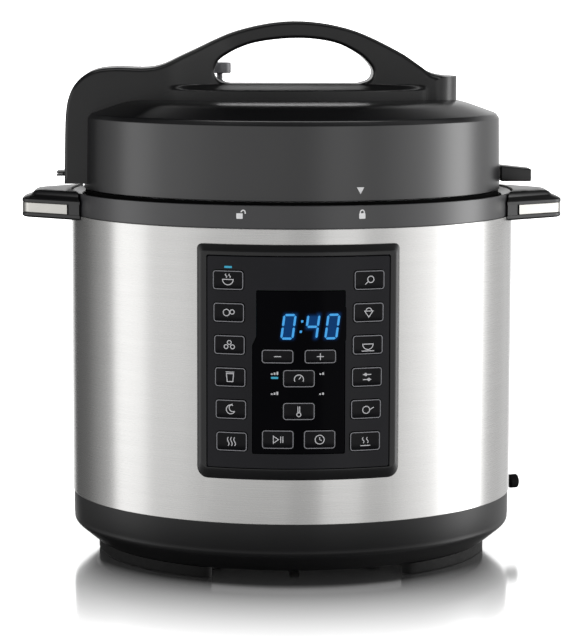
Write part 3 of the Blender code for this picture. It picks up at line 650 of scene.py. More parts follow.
def key_places():
    """Name of each key with its angle, height of centre and half height."""
    places = {}
    for side, name in ((-1, "left"), (1, "right")):
        for row in range(COLUMN_ROWS):
            places[f"key_{name}_{row + 1}"] = side * (COLUMN_ANGLE - COLUMN_LEAN * row)
    places.update(key_minus=-5.1, key_plus=5.1, key_pressure=0.0)
    places.update(key_temperature=0.0, key_start=-5.0, key_delay=5.0)
    result = {}
    for name, angle in places.items():
        low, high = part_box(name)
        result[name] = (angle, (low.z + high.z) / 2, (high.z - low.z) / 2)
    return result


KEY_HALF_WIDTH = 0.00925
KEY_CORNER = 0.0020


def key_outline(half_height, inset):
    """Outline of a key around its centre."""
    half = KEY_HALF_WIDTH - inset
    tall = half_height - inset
    return rounded_box(-half, half, -tall, tall, max(KEY_CORNER - inset, 0.0003))


def key_holes(names):
    """Flat cutters for the named keys."""
    holes = []
    for name in names:
        angle, z, half_height = key_places()[name]
        outline = key_outline(half_height, -KEY_GAP)
        hole = levelled([(outline, PANEL_BACK - 0.004), (outline, PANEL_FRONT + 0.004)])
        holes.append(moved(hole, radians(angle) * BODY_RADIUS, 0, z))
    return together(*holes)


def build_bezel():
    """Raised frame with sloping sides, a flat rim and a groove around the key panel."""
    low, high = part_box("control_bezel")
    half = 0.0605
    inner = 0.0540
    bottom, top = low.z, high.z

    def frame_outline(side, below, above, corner):
        sides = (side - half, half - side, bottom + below, top - above)
        return rounded_box(*sides, corner, 8, corner * 0.45)

    hole = rounded_box(-inner, inner, 0.0705, 0.1950, 0.0015, 8)
    slope = (
        (0, 0, 0, 0.0068, PANEL_BACK), (0, 0, 0, 0.0068, PANEL_BACK + 0.0006),
        (0.0002, 0.0004, 0.0002, 0.0067, PANEL_BACK + 0.0009),
        (0.0026, 0.0050, 0.0036, 0.0048, BEZEL_FRONT - 0.0003),
        (0.0032, 0.0060, 0.0042, 0.0042, BEZEL_FRONT - 0.00004),
        (0.0038, 0.0066, 0.0046, 0.0038, BEZEL_FRONT),
    )
    levels = [(frame_outline(*sides), far) for *sides, far in slope]
    levels += [(offset(hole, 0.0003), BEZEL_FRONT), (hole, BEZEL_FRONT - 0.0003), (hole, PANEL_BACK)]
    bezel = bend(levelled(levels, closed=True))
    stand_in("control_bezel", bezel, BEZEL_BLACK)


def window_outline(inset):
    """Outline of the display window, wider on its left below the display."""
    half = 0.0268 - inset
    step = 0.0023
    high = 0.1752 - inset
    low = 0.0795 + inset
    shoulder = 0.1452
    return rounded([
        (-half, low, 0.0010), (half, low, 0.0010), (half, high, 0.0010),
        (step - half, high, 0.0010), (step - half, shoulder + 0.0030, 0.0030),
        (-half, shoulder - 0.0020, 0.0030),
    ])


def build_key_panel():
    """Satin key panel with the display window let into it, both cut out for the keys."""
    half = 0.0537
    low, high = 0.0708, 0.1947
    middle = window_outline(0)
    edge = 0.0003
    outline = rounded_box(-half, half, low, high, 0.0012)
    face = rounded_box(edge - half, half - edge, low + edge, high - edge, 0.0012)
    levels = [(outline, PANEL_BACK), (outline, PANEL_FRONT - edge), (face, PANEL_FRONT)]
    names = list(key_places())
    side_keys, centre_keys = names[:2 * COLUMN_ROWS], names[2 * COLUMN_ROWS:]
    opening = levelled([(middle, PANEL_BACK - 0.004), (middle, PANEL_FRONT + 0.004)])
    panel = combine(levelled(levels), together(opening, key_holes(side_keys)))
    stand_in("key_panel", bend(panel), PANEL_BLACK)

    levels = [
        (window_outline(KEY_GAP), PANEL_BACK), (window_outline(KEY_GAP), PANEL_FRONT - 0.0002),
        (window_outline(KEY_GAP + 0.0002), PANEL_FRONT),
    ]
    window = combine(levelled(levels), key_holes(centre_keys))
    stand_in("display_window", bend(window), WINDOW_BLACK)


def build_keys():
    """The keys, each with rounded edges, a thin light outline and a plain pictogram."""
    for name, (angle, z, half_height) in key_places().items():
        edge = (
            (0, PANEL_BACK - 0.0006), (0, KEY_FRONT - 0.0003), (0.0001, KEY_FRONT - 0.0001),
            (0.0003, KEY_FRONT),
        )
        levels = [(key_outline(half_height, inset), far) for inset, far in edge]
        key = bend(levelled(levels), angle)
        stand_in(name, moved(key, 0, 0, z), KEY_BLACK)

        outer, inner = key_outline(half_height, 0.00030), key_outline(half_height, 0.00075)
        under, over = KEY_FRONT - 0.0001, KEY_FRONT + INK
        line = [(outer, under), (outer, over), (inner, over), (inner, under)]
        ring = bend(levelled(line, closed=True), angle)
        extra(f"{name}_outline", name, moved(ring, 0, 0, z), KEY_LINE)

        size = 0.0036 if name in ("key_minus", "key_plus") else 0.0042
        mark = strokes(ICONS[name], size, 0.00050, KEY_FRONT)
        extra(f"{name}_mark", name, moved(bend(mark, angle), 0, 0, z), SOFT_INK)


# Marks

def ribbon(points, width):
    """Outline around an open line of points."""
    there, back = [], []
    for i, point in enumerate(points):
        here = Vector(point)
        ahead = Vector(points[min(i + 1, len(points) - 1)]) - Vector(points[max(i - 1, 0)])
        out = Vector((ahead.y, -ahead.x)).normalized() * width / 2
        there.append(tuple(here + out))
        back.append(tuple(here - out))
    return there + back[::-1]


def strokes(lines, size, width, surface):
    """Flat marks drawn as lines of even width. A line ends at its start if it is closed."""
    parts = []
    under, over = surface - INK, surface + INK
    for line in lines:
        points = [(x * size, z * size) for x, z in line]
        if (Vector(points[0]) - Vector(points[-1])).length < 1e-9:
            outer, inner = offset(points[:-1], width / 2), offset(points[:-1], -width / 2)
            levels = [(outer, under), (outer, over), (inner, over), (inner, under)]
            parts.append(levelled(levels, closed=True))
        else:
            outline = ribbon(points, width)
            parts.append(levelled([(outline, under), (outline, over)]))
    return together(*parts)


def filled(outlines, surface):
    """Flat filled marks."""
    return together(*[levelled([(o, surface - INK), (o, surface + INK)]) for o in outlines])


def circle(x, z, radius, start=0, end=360, steps=20):
    """Points on a circle or an arc; a full circle ends at its start."""
    turns = [radians(start + (end - start) * i / steps) for i in range(steps + 1)]
    points = [(x + radius * cos(t), z + radius * sin(t)) for t in turns]
    if end - start == 360:
        points[-1] = points[0]
    return points


def wave(x, z, height):
    """A short upright wave, as rising steam."""
    return [(x + 0.12 * sin(2 * pi * i / 8), z + height * i / 8) for i in range(9)]


BOWL = circle(0, 0.1, 0.75, 180, 360) + [(-0.75, 0.1)]
ICONS = {
    "key_left_1": [BOWL, wave(-0.25, 0.35, 0.5), wave(0.25, 0.35, 0.5)],
    "key_left_2": [circle(-0.3, 0, 0.45), circle(0.5, 0.1, 0.3)],
    "key_left_3": [circle(-0.45, -0.25, 0.28), circle(0.45, -0.25, 0.28), circle(0, 0.35, 0.28)],
    "key_left_4": [[(-0.5, 0.5), (-0.4, -0.6), (0.4, -0.6), (0.5, 0.5), (-0.5, 0.5)],
                   [(-0.6, 0.72), (0.6, 0.72)]],
    "key_left_5": [circle(0, 0, 0.62, 60, 330), circle(0.3, 0.22, 0.52, 95, 300)],
    "key_left_6": [wave(-0.45, -0.6, 1.2), wave(0, -0.6, 1.2), wave(0.45, -0.6, 1.2)],
    "key_right_1": [circle(0.15, 0.1, 0.45), [(-0.2, -0.2), (-0.65, -0.6)]],
    "key_right_2": [[(-0.6, 0.2), (0, -0.65), (0.6, 0.2), (-0.6, 0.2)],
                    circle(0, 0.2, 0.42, 0, 180)],
    "key_right_3": [BOWL, [(-0.9, -0.85), (0.9, -0.85)]],
    "key_right_4": [[(-0.6, 0.35), (0.6, 0.35)], [(-0.6, -0.35), (0.6, -0.35)],
                    circle(-0.2, 0.35, 0.16), circle(0.25, -0.35, 0.16)],
    "key_right_5": [circle(0, -0.1, 0.5), [(0.5, -0.1), (1.1, 0.25)]],
    "key_right_6": [[(-0.7, -0.6), (0.7, -0.6)], wave(-0.3, -0.25, 0.8), wave(0.3, -0.25, 0.8)],
    "key_minus": [[(-0.55, 0), (0.55, 0)]],
    "key_plus": [[(-0.55, 0), (0.55, 0)], [(0, -0.55), (0, 0.55)]],
    "key_pressure": [circle(0, -0.1, 0.62, -30, 210), [(0, -0.1), (0.3, 0.3)]],
    "key_temperature": [circle(0, -0.45, 0.28), [(-0.12, -0.15), (-0.12, 0.7)],
                        [(0.12, -0.15), (0.12, 0.7)]],
    "key_start": [[(-0.6, -0.5), (-0.6, 0.5), (0.1, 0), (-0.6, -0.5)], [(0.4, -0.45), (0.4, 0.45)],
                  [(0.7, -0.45), (0.7, 0.45)]],
    "key_delay": [circle(0, 0, 0.62), [(0, 0.35), (0, 0), (0.28, -0.15)]],
}


def on_panel(bm, x, z, angle=0.0):
    """A flat mark, put at a place on the curve of the body."""
    return bend(moved(bm, x, 0, z), angle)


def build_lamps_and_labels():
    """Small lamps beside the keys, and level marks beside the pressure key."""
    lamps = {"lamp_program": (-17.1, 0.1883, 0.0045), "lamp_pressure": (-5.8, 0.1243, 0.0041)}
    for name, (angle, z, width) in lamps.items():
        bar = filled([rounded_box(-width / 2, width / 2, -0.0006, 0.0006, 0.0003, 3)], PANEL_FRONT)
        node = "key_panel" if name == "lamp_program" else "display_window"
        extra(name, node, on_panel(bar, 0, z, angle), CYAN_LAMP)
    for row, z in enumerate((0.1272, 0.1155)):
        for side, word in ((-1, "left"), (1, "right")):
            count = 3 if side < 0 else 2
            bars = []
            for i in range(count):
                left = (i - 1) * 0.0016 - 0.0005
                right = (i - 1) * 0.0016 + 0.0005
                low, high = -0.0011, 0.0005 * i - 0.0003
                bars.append([(left, low), (right, low), (right, high), (left, high)])
            mark = on_panel(filled(bars, PANEL_FRONT), 0, z, side * 5.8)
            extra(f"level_mark_{word}_{row + 1}", "display_window", mark, SOFT_INK)


# The display: where it is on the panel, and its digits.
DISPLAY_ANGLE = 2.4
DISPLAY_LOW = 0.1473
DIGIT_HEIGHT = 0.0150
DIGIT_WIDTH = 0.0076
DIGIT_SLANT = 0.13
STROKE = 0.0013

# Lit bars of each digit of the time, and where it starts: bar a is on top, and g in the middle.
DIGITS = ((-0.0158, "abcdef"), (-0.0022, "bcfg"), (0.0093, "abcdef"))


def segment(a, b):
    """One bar of a digit, pointed at both ends."""
    start, end = Vector(a), Vector(b)
    along = (end - start).normalized()
    out = Vector((along.y, -along.x)) * STROKE / 2
    start += along * 0.0003
    end -= along * 0.0003
    neck = along * STROKE / 2
    return [start, start + neck + out, end - neck + out, end, end - neck - out, start + neck - out]


def digit_segments(lit):
    """Outlines of the lit bars of a seven-bar digit, from its lower left corner."""
    w, h = DIGIT_WIDTH - STROKE, DIGIT_HEIGHT - STROKE
    ends = {
        "a": ((0, h), (w, h)),
        "b": ((w, h / 2), (w, h)),
        "c": ((w, 0), (w, h / 2)),
        "d": ((0, 0), (w, 0)),
        "e": ((0, 0), (0, h / 2)),
        "f": ((0, h / 2), (0, h)),
        "g": ((0, h / 2), (w, h / 2)),
    }
    return [segment(*ends[bar]) for bar in lit]


def glow_boxes(left, low, lit):
    """Boxes inside a digit that glow: all of it, or its upper half and its right bar."""
    right = left + DIGIT_WIDTH - STROKE
    top = low + DIGIT_HEIGHT - STROKE
    inside, bottom = left + 0.0004, low + 0.0004
    if "d" in lit:
        return [((inside, bottom), (right, top))]
    upper = ((inside, low + DIGIT_HEIGHT / 2 - STROKE), (right, top - 0.0010))
    return [upper, ((right - 0.0006, bottom), (right, top))]


def build_display():
    """Blue slanted digits of a timer, over a soft haze of the same blue."""
    centre = radians(DISPLAY_ANGLE) * BODY_RADIUS
    outlines, boxes = [], []
    for x, lit in DIGITS:
        outlines += [[Vector((p.x + x, p.y)) for p in outline] for outline in digit_segments(lit)]
        boxes += glow_boxes(x + centre - DIGIT_SLANT * DISPLAY_LOW, DISPLAY_LOW, lit)
    for z in (0.0040, 0.0100):
        dot = rounded_box(-0.0059, -0.0046, z - 0.0007, z + 0.0007, 0.0003, 2)
        outlines.append([Vector(p) for p in dot])
    slanted = []
    for outline in outlines:
        slanted.append([(p.x + p.y * DIGIT_SLANT + centre, p.y + DISPLAY_LOW) for p in outline])
    digits = bend(filled(slanted, PANEL_FRONT + INK))
    extra("display_digits", "display_window", digits, BLUE_LAMP)

    sides = (centre - 0.0210, centre + 0.0215, DISPLAY_LOW - 0.0025, DISPLAY_LOW + 0.0190)
    material = display_haze(boxes, DIGIT_SLANT, (0.0035, 0.040, 0.150))
    haze = bend(filled([rounded_box(*sides, 0.002)], PANEL_FRONT))
    extra("display_haze", "display_window", haze, material)


def padlock(is_open):
    """Filled body and shackle line of a padlock, around its centre."""
    body = rounded_box(-0.0019, 0.0019, -0.0026, 0.0006, 0.0004, 3)
    shift = 0.0022 if is_open else 0.0
    shackle = circle(shift, 0.0012, 0.0012, 0, 180, 10)
    end = (shift - 0.0012, 0.0012 if is_open else 0.0004)
    return body, [(shift + 0.0012, 0.0004)] + shackle + [end]


def build_marks():
    """Open and closed padlocks on the ring, and the pointer on the lid."""
    for name, angle, is_open in (("mark_open", -14.6, True), ("mark_closed", 15.6, False)):
        body, shackle = padlock(is_open)
        mark = together(filled([body], BASE_RADIUS), strokes([shackle], 1.0, 0.0007, BASE_RADIUS))
        extra(name, "top_ring", on_panel(mark, 0, 0.2187, angle), WHITE_INK)
    wall = LID_RADIUS - 0.00003
    pointer = filled([[(0, -0.0022), (0.0024, 0.0018), (-0.0024, 0.0018)]], wall)
    extra("mark_pointer", "lid_cover", on_panel(pointer, 0, 0.2320, 16.2), WHITE_INK)


# Side handles

def handle_outline(inset):
    """Plan of the right side handle, with its free edge drawn in, most of all at the tip."""
    side_inset = min(inset, 0.0020) + 0.35 * max(0.0, inset - 0.0020)
    root, reach = 0.1374, 0.1672 - inset
    half_root = 0.0443 - side_inset
    turn = degrees(half_root / root)
    points = [tuple(polar(root, 90 + turn * (1 - i / 8), 0)[:2]) for i in range(17)]
    half_tip = 0.0213 - side_inset
    corner = 0.0120 - inset * 0.6
    points += circle(reach - corner, corner - half_tip, corner, -52, 0, 12)
    points += circle(reach - corner, half_tip - corner, corner, 0, 52, 12)
    return points


def build_side_handles():
    """Handles with a raised flat top, a strip of steel in the rim and a finger recess below."""
    low, high = 0.2078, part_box("side_handle_right")[1].z
    trim_low, trim_high, trim_depth = 0.2106, 0.2174, 0.0013
    rise = smooth_path(
        (
            (0.2190, 0.0), (0.2196, 0.0005), (0.2203, 0.0017), (0.2211, 0.0040), (0.2217, 0.0056),
            (0.2228, 0.0066), (0.2238, 0.0078), (0.2245, 0.0095), (high, 0.0130),
        ),
        4,
    )
    levels = [(low, 0.0016), (low + 0.0004, 0.0006), (low + 0.0012, 0.0)]
    levels += [(trim_low, 0.0), (trim_low, trim_depth), (trim_high, trim_depth), (trim_high, 0.0)]
    levels += rise
    for side, name in ((1, "right"), (-1, "left")):
        loops = [[(side * x, y, z) for x, y in handle_outline(inset)] for z, inset in levels]
        ends = sorted((side * 0.1440, side * 0.1600))
        recess = block((ends[0], -0.0180, 0.1900), (ends[1], 0.0180, 0.2190), 0.0030)
        stand_in(f"side_handle_{name}", combine(stack(loops), recess), BLACK, 28)

        node = f"handle_trim_{name}"
        box_low, box_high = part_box(node)
        loops = []
        for z, front in trim_levels(box_low.z, box_high.z):
            line = trim_line(TRIM_BACK) + trim_line(front)[::-1]
            loops.append([(side * x, y, z) for x, y in line])
        stand_in(node, stack(loops), TRIM_STEEL, 40)


TRIM_BACK = 0.0010


def trim_levels(low, high):
    """Heights of the strip, with how far its front is drawn in, soft at both edges."""
    half = [(low, 0.00045), (low + 0.0002, 0.00025), (low + 0.0005, 0.0002)]
    return half + [(high - (z - low), front) for z, front in half[::-1]]


def trim_line(inset):
    """Line of the strip along the free edge of the handle, short of the root at both ends."""
    outline = [Vector(p) for p in handle_outline(inset)]
    free = outline[17:]
    start = outline[16].lerp(free[0], 0.25)
    end = outline[0].lerp(free[-1], 0.25)
    return [tuple(start)] + [tuple(p) for p in free] + [tuple(end)]


# Lid

# Shoulder of the lid as (radius, z, corner radius).
LID_SHOULDER = ((0.1285, 0.2693, 0.0016), (0.1265, 0.2721, 0.0030), (0.1035, 0.2803, 0.0500))


def build_lid():
    """Lid cover with a crisp shoulder, and a moulded collar around each valve hole."""
    top, bottom = LID_HIGH.z, LID_LOW.z
    profile = rounded([
        (0.1271, bottom, 0.0003), (LID_RADIUS, bottom, 0.0006),
        *LID_SHOULDER,
        (0, top), (0, top - 0.0025), (0.0900, top - 0.0026), (0.1232, 0.2702, 0.0020),
        (0.1262, 0.2660, 0.0010),
    ], 8)
    nodes = {"steam_vent_pipe": 0.0060, "float_valve": 0.0052}
    cover = combine(turned(profile, 180), valve_holes(nodes, 0.270, 0.290))
    stand_in("lid_cover", cover, LID_GREY, 24)
    for node, radius in nodes.items():
        profile = [
            (radius, top - 0.0020), (radius, top + 0.0014, 0.0004),
            (radius + 0.0022, top + 0.0014, 0.0006), (radius + 0.0034, top - 0.0005),
            (radius + 0.0034, top - 0.0020),
        ]
        collar = moved(turned(profile, SMALL_STEPS), *centre_of(node))
        extra(f"collar_at_{node}", "lid_cover", collar, BLACK)


def valve_holes(nodes, low, high):
    """Round cutters of given radii around small upright nodes."""
    holes = []
    for node, radius in nodes.items():
        profile = [(0, low), (radius, low), (radius, high), (0, high)]
        holes.append(moved(turned(profile, SMALL_STEPS), *centre_of(node)))
    return together(*holes)


def centre_of(node):
    """Shift from the axis of the body to the upright axis of a small turned node."""
    low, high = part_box(node)
    return (low.x + high.x) / 2, (low.y + high.y) / 2, 0


# The lid handle: half its depth at the grip, the arm, the right end and the foot, the height
# at which the foot starts and the height of its slope, the round of its right end, and how deep
# its underside is sunk in the lid.
GRIP_HALF = 0.0155
ARM_HALF = 0.0260
END_HALF = 0.0225
FOOT_HALF = 0.0385
FOOT_TOP = 0.2860
FOOT_SLOPE = 0.0040
END_ROUND = 0.0145
SUNK = 0.0005


def handle_profile(y, inset):
    """Outline of the lid handle at one depth, anticlockwise. Its underside is sunk in the lid."""
    crest = smooth_path(
        (
            (-0.1405, HANDLE_LOW.z), (-0.1399, 0.2620), (-0.1392, 0.2738), (-0.1378, 0.2812),
            (-0.1346, 0.2885), (-0.1286, 0.2949), (-0.1201, 0.2988), (-0.1083, 0.3000),
            (-0.0850, 0.3003), (-0.0645, 0.3090), (-0.0340, 0.3224), (0.0000, 0.3282),
            (0.0340, 0.3238), (0.0642, 0.3104), (0.0830, 0.2982), (0.0950, 0.2951),
            (0.1022, 0.2947),
        ),
        6,
    )
    low = LID_HIGH.z - SUNK
    beyond = y * ARM_HALF / GRIP_HALF
    shoulder = ((0.1010, low), (0.1160, 0.2757), (0.1255, 0.2720), (0.1275, 0.2700), (0.1281, 0.2670))
    below = [(0.1022, low)]
    for radius, z in shoulder + ((0.1286, HANDLE_LOW.z + SUNK),):
        below.append((-sqrt((radius - SUNK) ** 2 - beyond ** 2), z - SUNK))
    drawn_in = offset((crest + below)[::-1], -inset)[::-1]
    return (drawn_in[1:len(crest)] + below + [crest[0]])[::-1]


def handle_opening():
    """Outline of the finger opening, anticlockwise."""
    line = smooth_path(
        (
            (-0.0385, 0.2900), (-0.0440, 0.2910), (-0.0477, 0.2945), (-0.0480, 0.2995),
            (-0.0430, 0.3065), (-0.0250, 0.3148), (0.0020, 0.3180), (0.0250, 0.3155),
            (0.0405, 0.3083), (0.0480, 0.3010), (0.0495, 0.2960), (0.0470, 0.2920),
            (0.0410, 0.2900),
        ),
        6,
    )
    return line[::-1]


def edge_levels(half, radius):
    """Depths across a bar with round edges, as (y, how far the outline is drawn in)."""
    front = []
    for step in range(7):
        turn = radians(15 * step)
        front.append((-half + radius * (1 - cos(turn)), radius * (1 - sin(turn))))
    front += [(y, 0.0) for y in (-0.0115, -0.0095, -0.0070, -0.0040, -0.0012)]
    return front + [(-y, inset) for y, inset in front[::-1]]


def eased(value, start, end):
    """Smooth step from 0 at the start to 1 at the end."""
    share = min(1.0, max(0.0, (value - start) / (end - start)))
    return share * share * (3 - 2 * share)


def handle_depth(x, z):
    """Half the depth of the lid handle: slim at the grip, deeper at the arm and foot."""
    grip = GRIP_HALF
    grip += (ARM_HALF - GRIP_HALF) * eased(x, -0.0350, -0.0800)
    grip += (END_HALF - GRIP_HALF) * eased(x, 0.0400, 0.0850)
    right = 0.0160 * ((x + 0.020) / 0.105) ** 2
    left = 0.0125 * ((x + 0.020) / 0.055) ** 2
    foot = max(grip, FOOT_HALF - (right if x > -0.020 else left))
    return grip + (foot - grip) * eased(z, FOOT_TOP + FOOT_SLOPE, FOOT_TOP)


def build_lid_handle():
    """Arched handle with round edges, a flared foot and an arm down the left of the lid."""
    bm = bmesh.new()
    outer, inner = [], []
    for y, inset in edge_levels(GRIP_HALF, 0.0024):
        outer.append([bm.verts.new((x, y, z)) for x, z in handle_profile(y, inset)])
        inner.append([bm.verts.new((x, y, z)) for x, z in offset(handle_opening(), inset * 0.9)])
    skin(bm, outer)
    skin(bm, inner)
    for i in (0, -1):
        edges = []
        for row in (outer[i], inner[i]):
            edges += [bm.edges.get((row[k - 1], row[k])) for k in range(len(row))]
        bmesh.ops.triangle_fill(bm, use_beauty=True, edges=edges)
    planes = [((-0.1200 + 0.0040 * i, 0, 0), (1, 0, 0)) for i in range(56)]
    planes += [((0, 0, FOOT_TOP + 0.0004 * i), (0, 0, 1)) for i in range(-2, 12)]
    slice_by(bm, planes)
    for vert in bm.verts:
        share = vert.co.y / GRIP_HALF
        past = max(0.0, vert.co.x - 0.0800) / 0.0222
        vert.co.y *= handle_depth(vert.co.x, vert.co.z) / GRIP_HALF
        vert.co.x -= END_ROUND * past * (1 - sqrt(max(0.0, 1 - share * share)))
    stand_in("lid_handle", bm, BLACK, 30)


def build_lid_tabs():
    """Tabs on the sides of the lid."""
    low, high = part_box("lid_tab_right")
    bm = block(low, high)
    for vert in bm.verts:
        out = (vert.co.x - low.x) / (high.x - low.x)
        vert.co.y *= 1 - 0.1 * out
        if vert.co.z > (low.z + high.z) / 2:
            vert.co.z -= 0.0020 * out
    bmesh.ops.bevel(bm, geom=bm.edges, offset=0.0008, segments=3, profile=0.5, affect="EDGES")
    stand_in("lid_tab_right", bm, BLACK)
    low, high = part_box("lid_tab_left")
    near = (low.x - 0.001, low.y - 0.001, low.z + 0.0009)
    far = (high.x - 0.0012, high.y + 0.001, high.z - 0.0009)
    stand_in("lid_tab_left", combine(block(low, high, 0.0003), block(near, far)), BLACK)


# Valves

def build_valves():
    """Weighted cap on its stem, the vent under it, and the float with its seal."""
    centre = centre_of("steam_release_valve")
    cap = [
        (0, 0.2840), (0.0017, 0.2840), (0.0017, 0.2883), (0.0034, 0.2883, 0.0003),
        (0.0034, 0.2896, 0.0003), (0.0019, 0.2902, 0.0006), (0.0019, 0.2947, 0.0004),
        (0.0072, 0.2947, 0.0007), (0.0072, 0.3015, 0.0011), (0.0030, 0.3015, 0.0004),
        (0.0028, 0.3008), (0, 0.3008),
    ]
    turned_piece("steam_release_valve", cap, VALVE_GREY, centre)
    pipe = [(0.0022, 0.2300), (0.0040, 0.2300), (0.0040, 0.2880, 0.0006), (0.0022, 0.2880, 0.0003)]
    turned_piece("steam_vent_pipe", pipe, STEEL, centre)
    shield = [
        (0.0046, 0.2320), (0.0130, 0.2320, 0.0008), (0.0130, 0.2240, 0.0003),
        (0.0118, 0.2240, 0.0003), (0.0118, 0.2308), (0.0046, 0.2308),
    ]
    turned_piece("vent_shield", shield, STEEL, centre)

    centre = centre_of("float_valve")
    pin = [
        (0, 0.2300), (0.0022, 0.2300), (0.0032, 0.2320), (0.0032, 0.2377), (0.0048, 0.2377, 0.0003),
        (0.0048, 0.2392, 0.0003), (0.0032, 0.2392), (0.0032, 0.2780), (0.0046, 0.2784, 0.0003),
        (0.0046, 0.2806, 0.0008), (0, 0.2806),
    ]
    turned_piece("float_valve", pin, STEEL, centre)
    seal = [
        (0, 0.2255), (0.0048, 0.2255, 0.0010), (0.0060, 0.2280, 0.0006), (0.0060, 0.2297, 0.0005),
        (0, 0.2297),
    ]
    turned_piece("float_seal", seal, SILICONE, centre)


# Under the lid

def with_lugs(bm, profile):
    """A mesh joined with six short arcs of a profile, evenly around the axis."""
    starts = [90 + 60 * i for i in range(6)]
    arcs = [turned(profile, 12, start, start + 20.0) for start in starts]
    return combine(bm, together(*arcs), "UNION")


def build_inner_lid():
    """Steel inner lid with its lugs, the silicone ring and the rack that holds it."""
    profile = [
        (0.1262, 0.2224, 0.0004), (0.1262, 0.2374, 0.0016), (0.0900, 0.2374), (0, 0.2374),
        (0, 0.2360), (0.1250, 0.2360, 0.0010), (0.1250, 0.2224, 0.0004),
    ]
    nodes = {"steam_vent_pipe": 0.0043, "float_valve": 0.0036}
    lid = combine(turned(profile), valve_holes(nodes, 0.230, 0.245))
    lug = [(0.1219, 0.2224, 0.0004), (0.1254, 0.2224), (0.1254, 0.2246), (0.1219, 0.2246, 0.0006)]
    stand_in("inner_lid", with_lugs(lid, lug), STEEL)

    ring = [
        (0.1090, 0.2290, 0.0006), (0.1140, 0.2293, 0.0010), (0.1176, 0.2281, 0.0008),
        (0.1182, 0.2310, 0.0010), (0.1172, 0.2354, 0.0012), (0.1112, 0.2354, 0.0012),
        (0.1096, 0.2320, 0.0010),
    ]
    turned_piece("sealing_ring", ring, SILICONE)
    rack = [(0.1052, 0.2296), (0.1082, 0.2296, 0.0003), (0.1084, 0.2356), (0.1064, 0.2356)]
    turned_piece("ring_rack", rack, STEEL)


# Inside the body

def build_well():
    """Inner housing, locking collar, heating plate and sensor."""
    housing = [
        (0.0700, 0.0530), (0.1144, 0.0530, 0.0020), (0.1144, 0.2246, 0.0006), (0.1186, 0.2246),
        (0.1186, 0.2260, 0.0004), (0.1134, 0.2260, 0.0010), (0.1134, 0.0542, 0.0016),
        (0.0700, 0.0542),
    ]
    turned_piece("inner_housing", housing, ALUMINIUM)

    collar = [(0.1190, 0.2060), (0.1210, 0.2060), (0.1210, 0.2296, 0.0004), (0.1190, 0.2296, 0.0004)]
    lug = [(0.1206, 0.2272), (0.1240, 0.2272, 0.0003), (0.1240, 0.2296, 0.0006), (0.1206, 0.2296)]
    stand_in("locking_collar", with_lugs(turned(collar), lug), STEEL)

    rings = []
    for i in range(7):
        radius = 0.0880 - 0.0090 * i
        z = 0.0618 + 0.0003 * i
        rings += [(radius, z), (radius - 0.0012, z - 0.0007), (radius - 0.0024, z + 0.0001)]
    cast = [(0.0155, 0.0546), (0.0935, 0.0546, 0.0012), (0.0940, 0.0590, 0.0012), (0.0925, 0.0616)]
    cast += rings + [(0.0220, 0.0640), (0.0160, 0.0643), (0.0155, 0.0639)]
    turned_piece("heating_plate", cast, ALUMINIUM)

    sensor = [
        (0, 0.0360), (0.0035, 0.0360, 0.0005), (0.0035, 0.0570), (0.0110, 0.0580), (0.0120, 0.0600),
        (0.0120, 0.0647, 0.0014), (0, 0.0647),
    ]
    turned_piece("temperature_sensor", sensor, STEEL, (0, 0, 0))


def build_pot():
    """Removable cooking pot with a rolled rim."""
    wall = 0.0015
    low, high = POT_LOW.z, POT_HIGH.z
    outside, rim = 0.1115, POT_HIGH.x
    pot = rounded([
        (0, low), (outside, low, 0.0130), (outside, high - 0.0012, 0.0004),
        (rim, high - 0.0012, 0.0005), (rim, high, 0.0006), (outside - wall, high, 0.0016),
        (outside - wall, low + wall, 0.0115), (0, low + wall),
    ], 8)
    stand_in("cooking_pot", turned(pot, 180), ALUMINIUM)


# Back of the body

GLAND_ANGLE = 108.0
GLAND_HEIGHT = 0.0308


def build_gland():
    """Ribbed gland at the right, a little to the back, with an empty hole in its end."""
    end = 0.1560
    ribs = []
    for i in range(5):
        out = BODY_RADIUS + 0.0022 + 0.0023 * i
        ribs += [(0.0036, out), (0.0036, out + 0.0011)]
        ribs += [(0.0029, out + 0.0014), (0.0029, out + 0.0020)]
    profile = [(0.0036, BODY_RADIUS)] + ribs + [
        (0.0036, end - 0.0058), (0.0045, end - 0.0050, 0.0004), (0.0045, end, 0.0010),
        (0.0028, end, 0.0003), (0.0028, end - 0.0100), (0, end - 0.0100), (0, BODY_RADIUS),
    ]
    bm = turned(profile, SMALL_STEPS)
    bmesh.ops.rotate(bm, verts=bm.verts, matrix=Matrix.Rotation(radians(90), 3, "X"))
    bmesh.ops.rotate(bm, verts=bm.verts, matrix=Matrix.Rotation(radians(GLAND_ANGLE), 3, "Z"))
    stand_in("cord_gland", moved(bm, 0, 0, GLAND_HEIGHT), RUBBER)


def build_collector():
    """Clear cup for condensed water on its bracket."""
    angle = 218.0
    half = 0.0225
    plate = rounded_box(-half, half, 0.1500, 0.2025, 0.003)
    levels = [(plate, 0.1374), (plate, 0.1390), (offset(plate, -0.0003), 0.1392)]
    stand_in("collector_bracket", bend(levelled(levels), angle), BLACK)

    low, high, near, far = 0.1480, 0.2000, 0.1396, 0.1560
    outline = rounded_box(-half, half, low, high, 0.004)
    levels = [
        (offset(outline, -0.0006), near), (outline, near + 0.0006), (outline, far - 0.0020),
        (offset(outline, -0.0006), far - 0.0006), (offset(outline, -0.0020), far),
    ]
    inside = 0.0018
    hollow = rounded_box(inside - half, half - inside, low + inside, high + 0.01, 0.003)
    cup = combine(levelled(levels), levelled([(hollow, near + inside), (hollow, far - inside)]))
    stand_in("condensation_collector", bend(cup, angle), CLEAR)


# Studio

CAMERA_DISTANCE = 1.7495
CAMERA_HEIGHT = 0.347
CAMERA_ANGLE = -1.8
CAMERA_PITCH = 6.69
CAMERA_ROLL = 0.16
LENS = 157.95


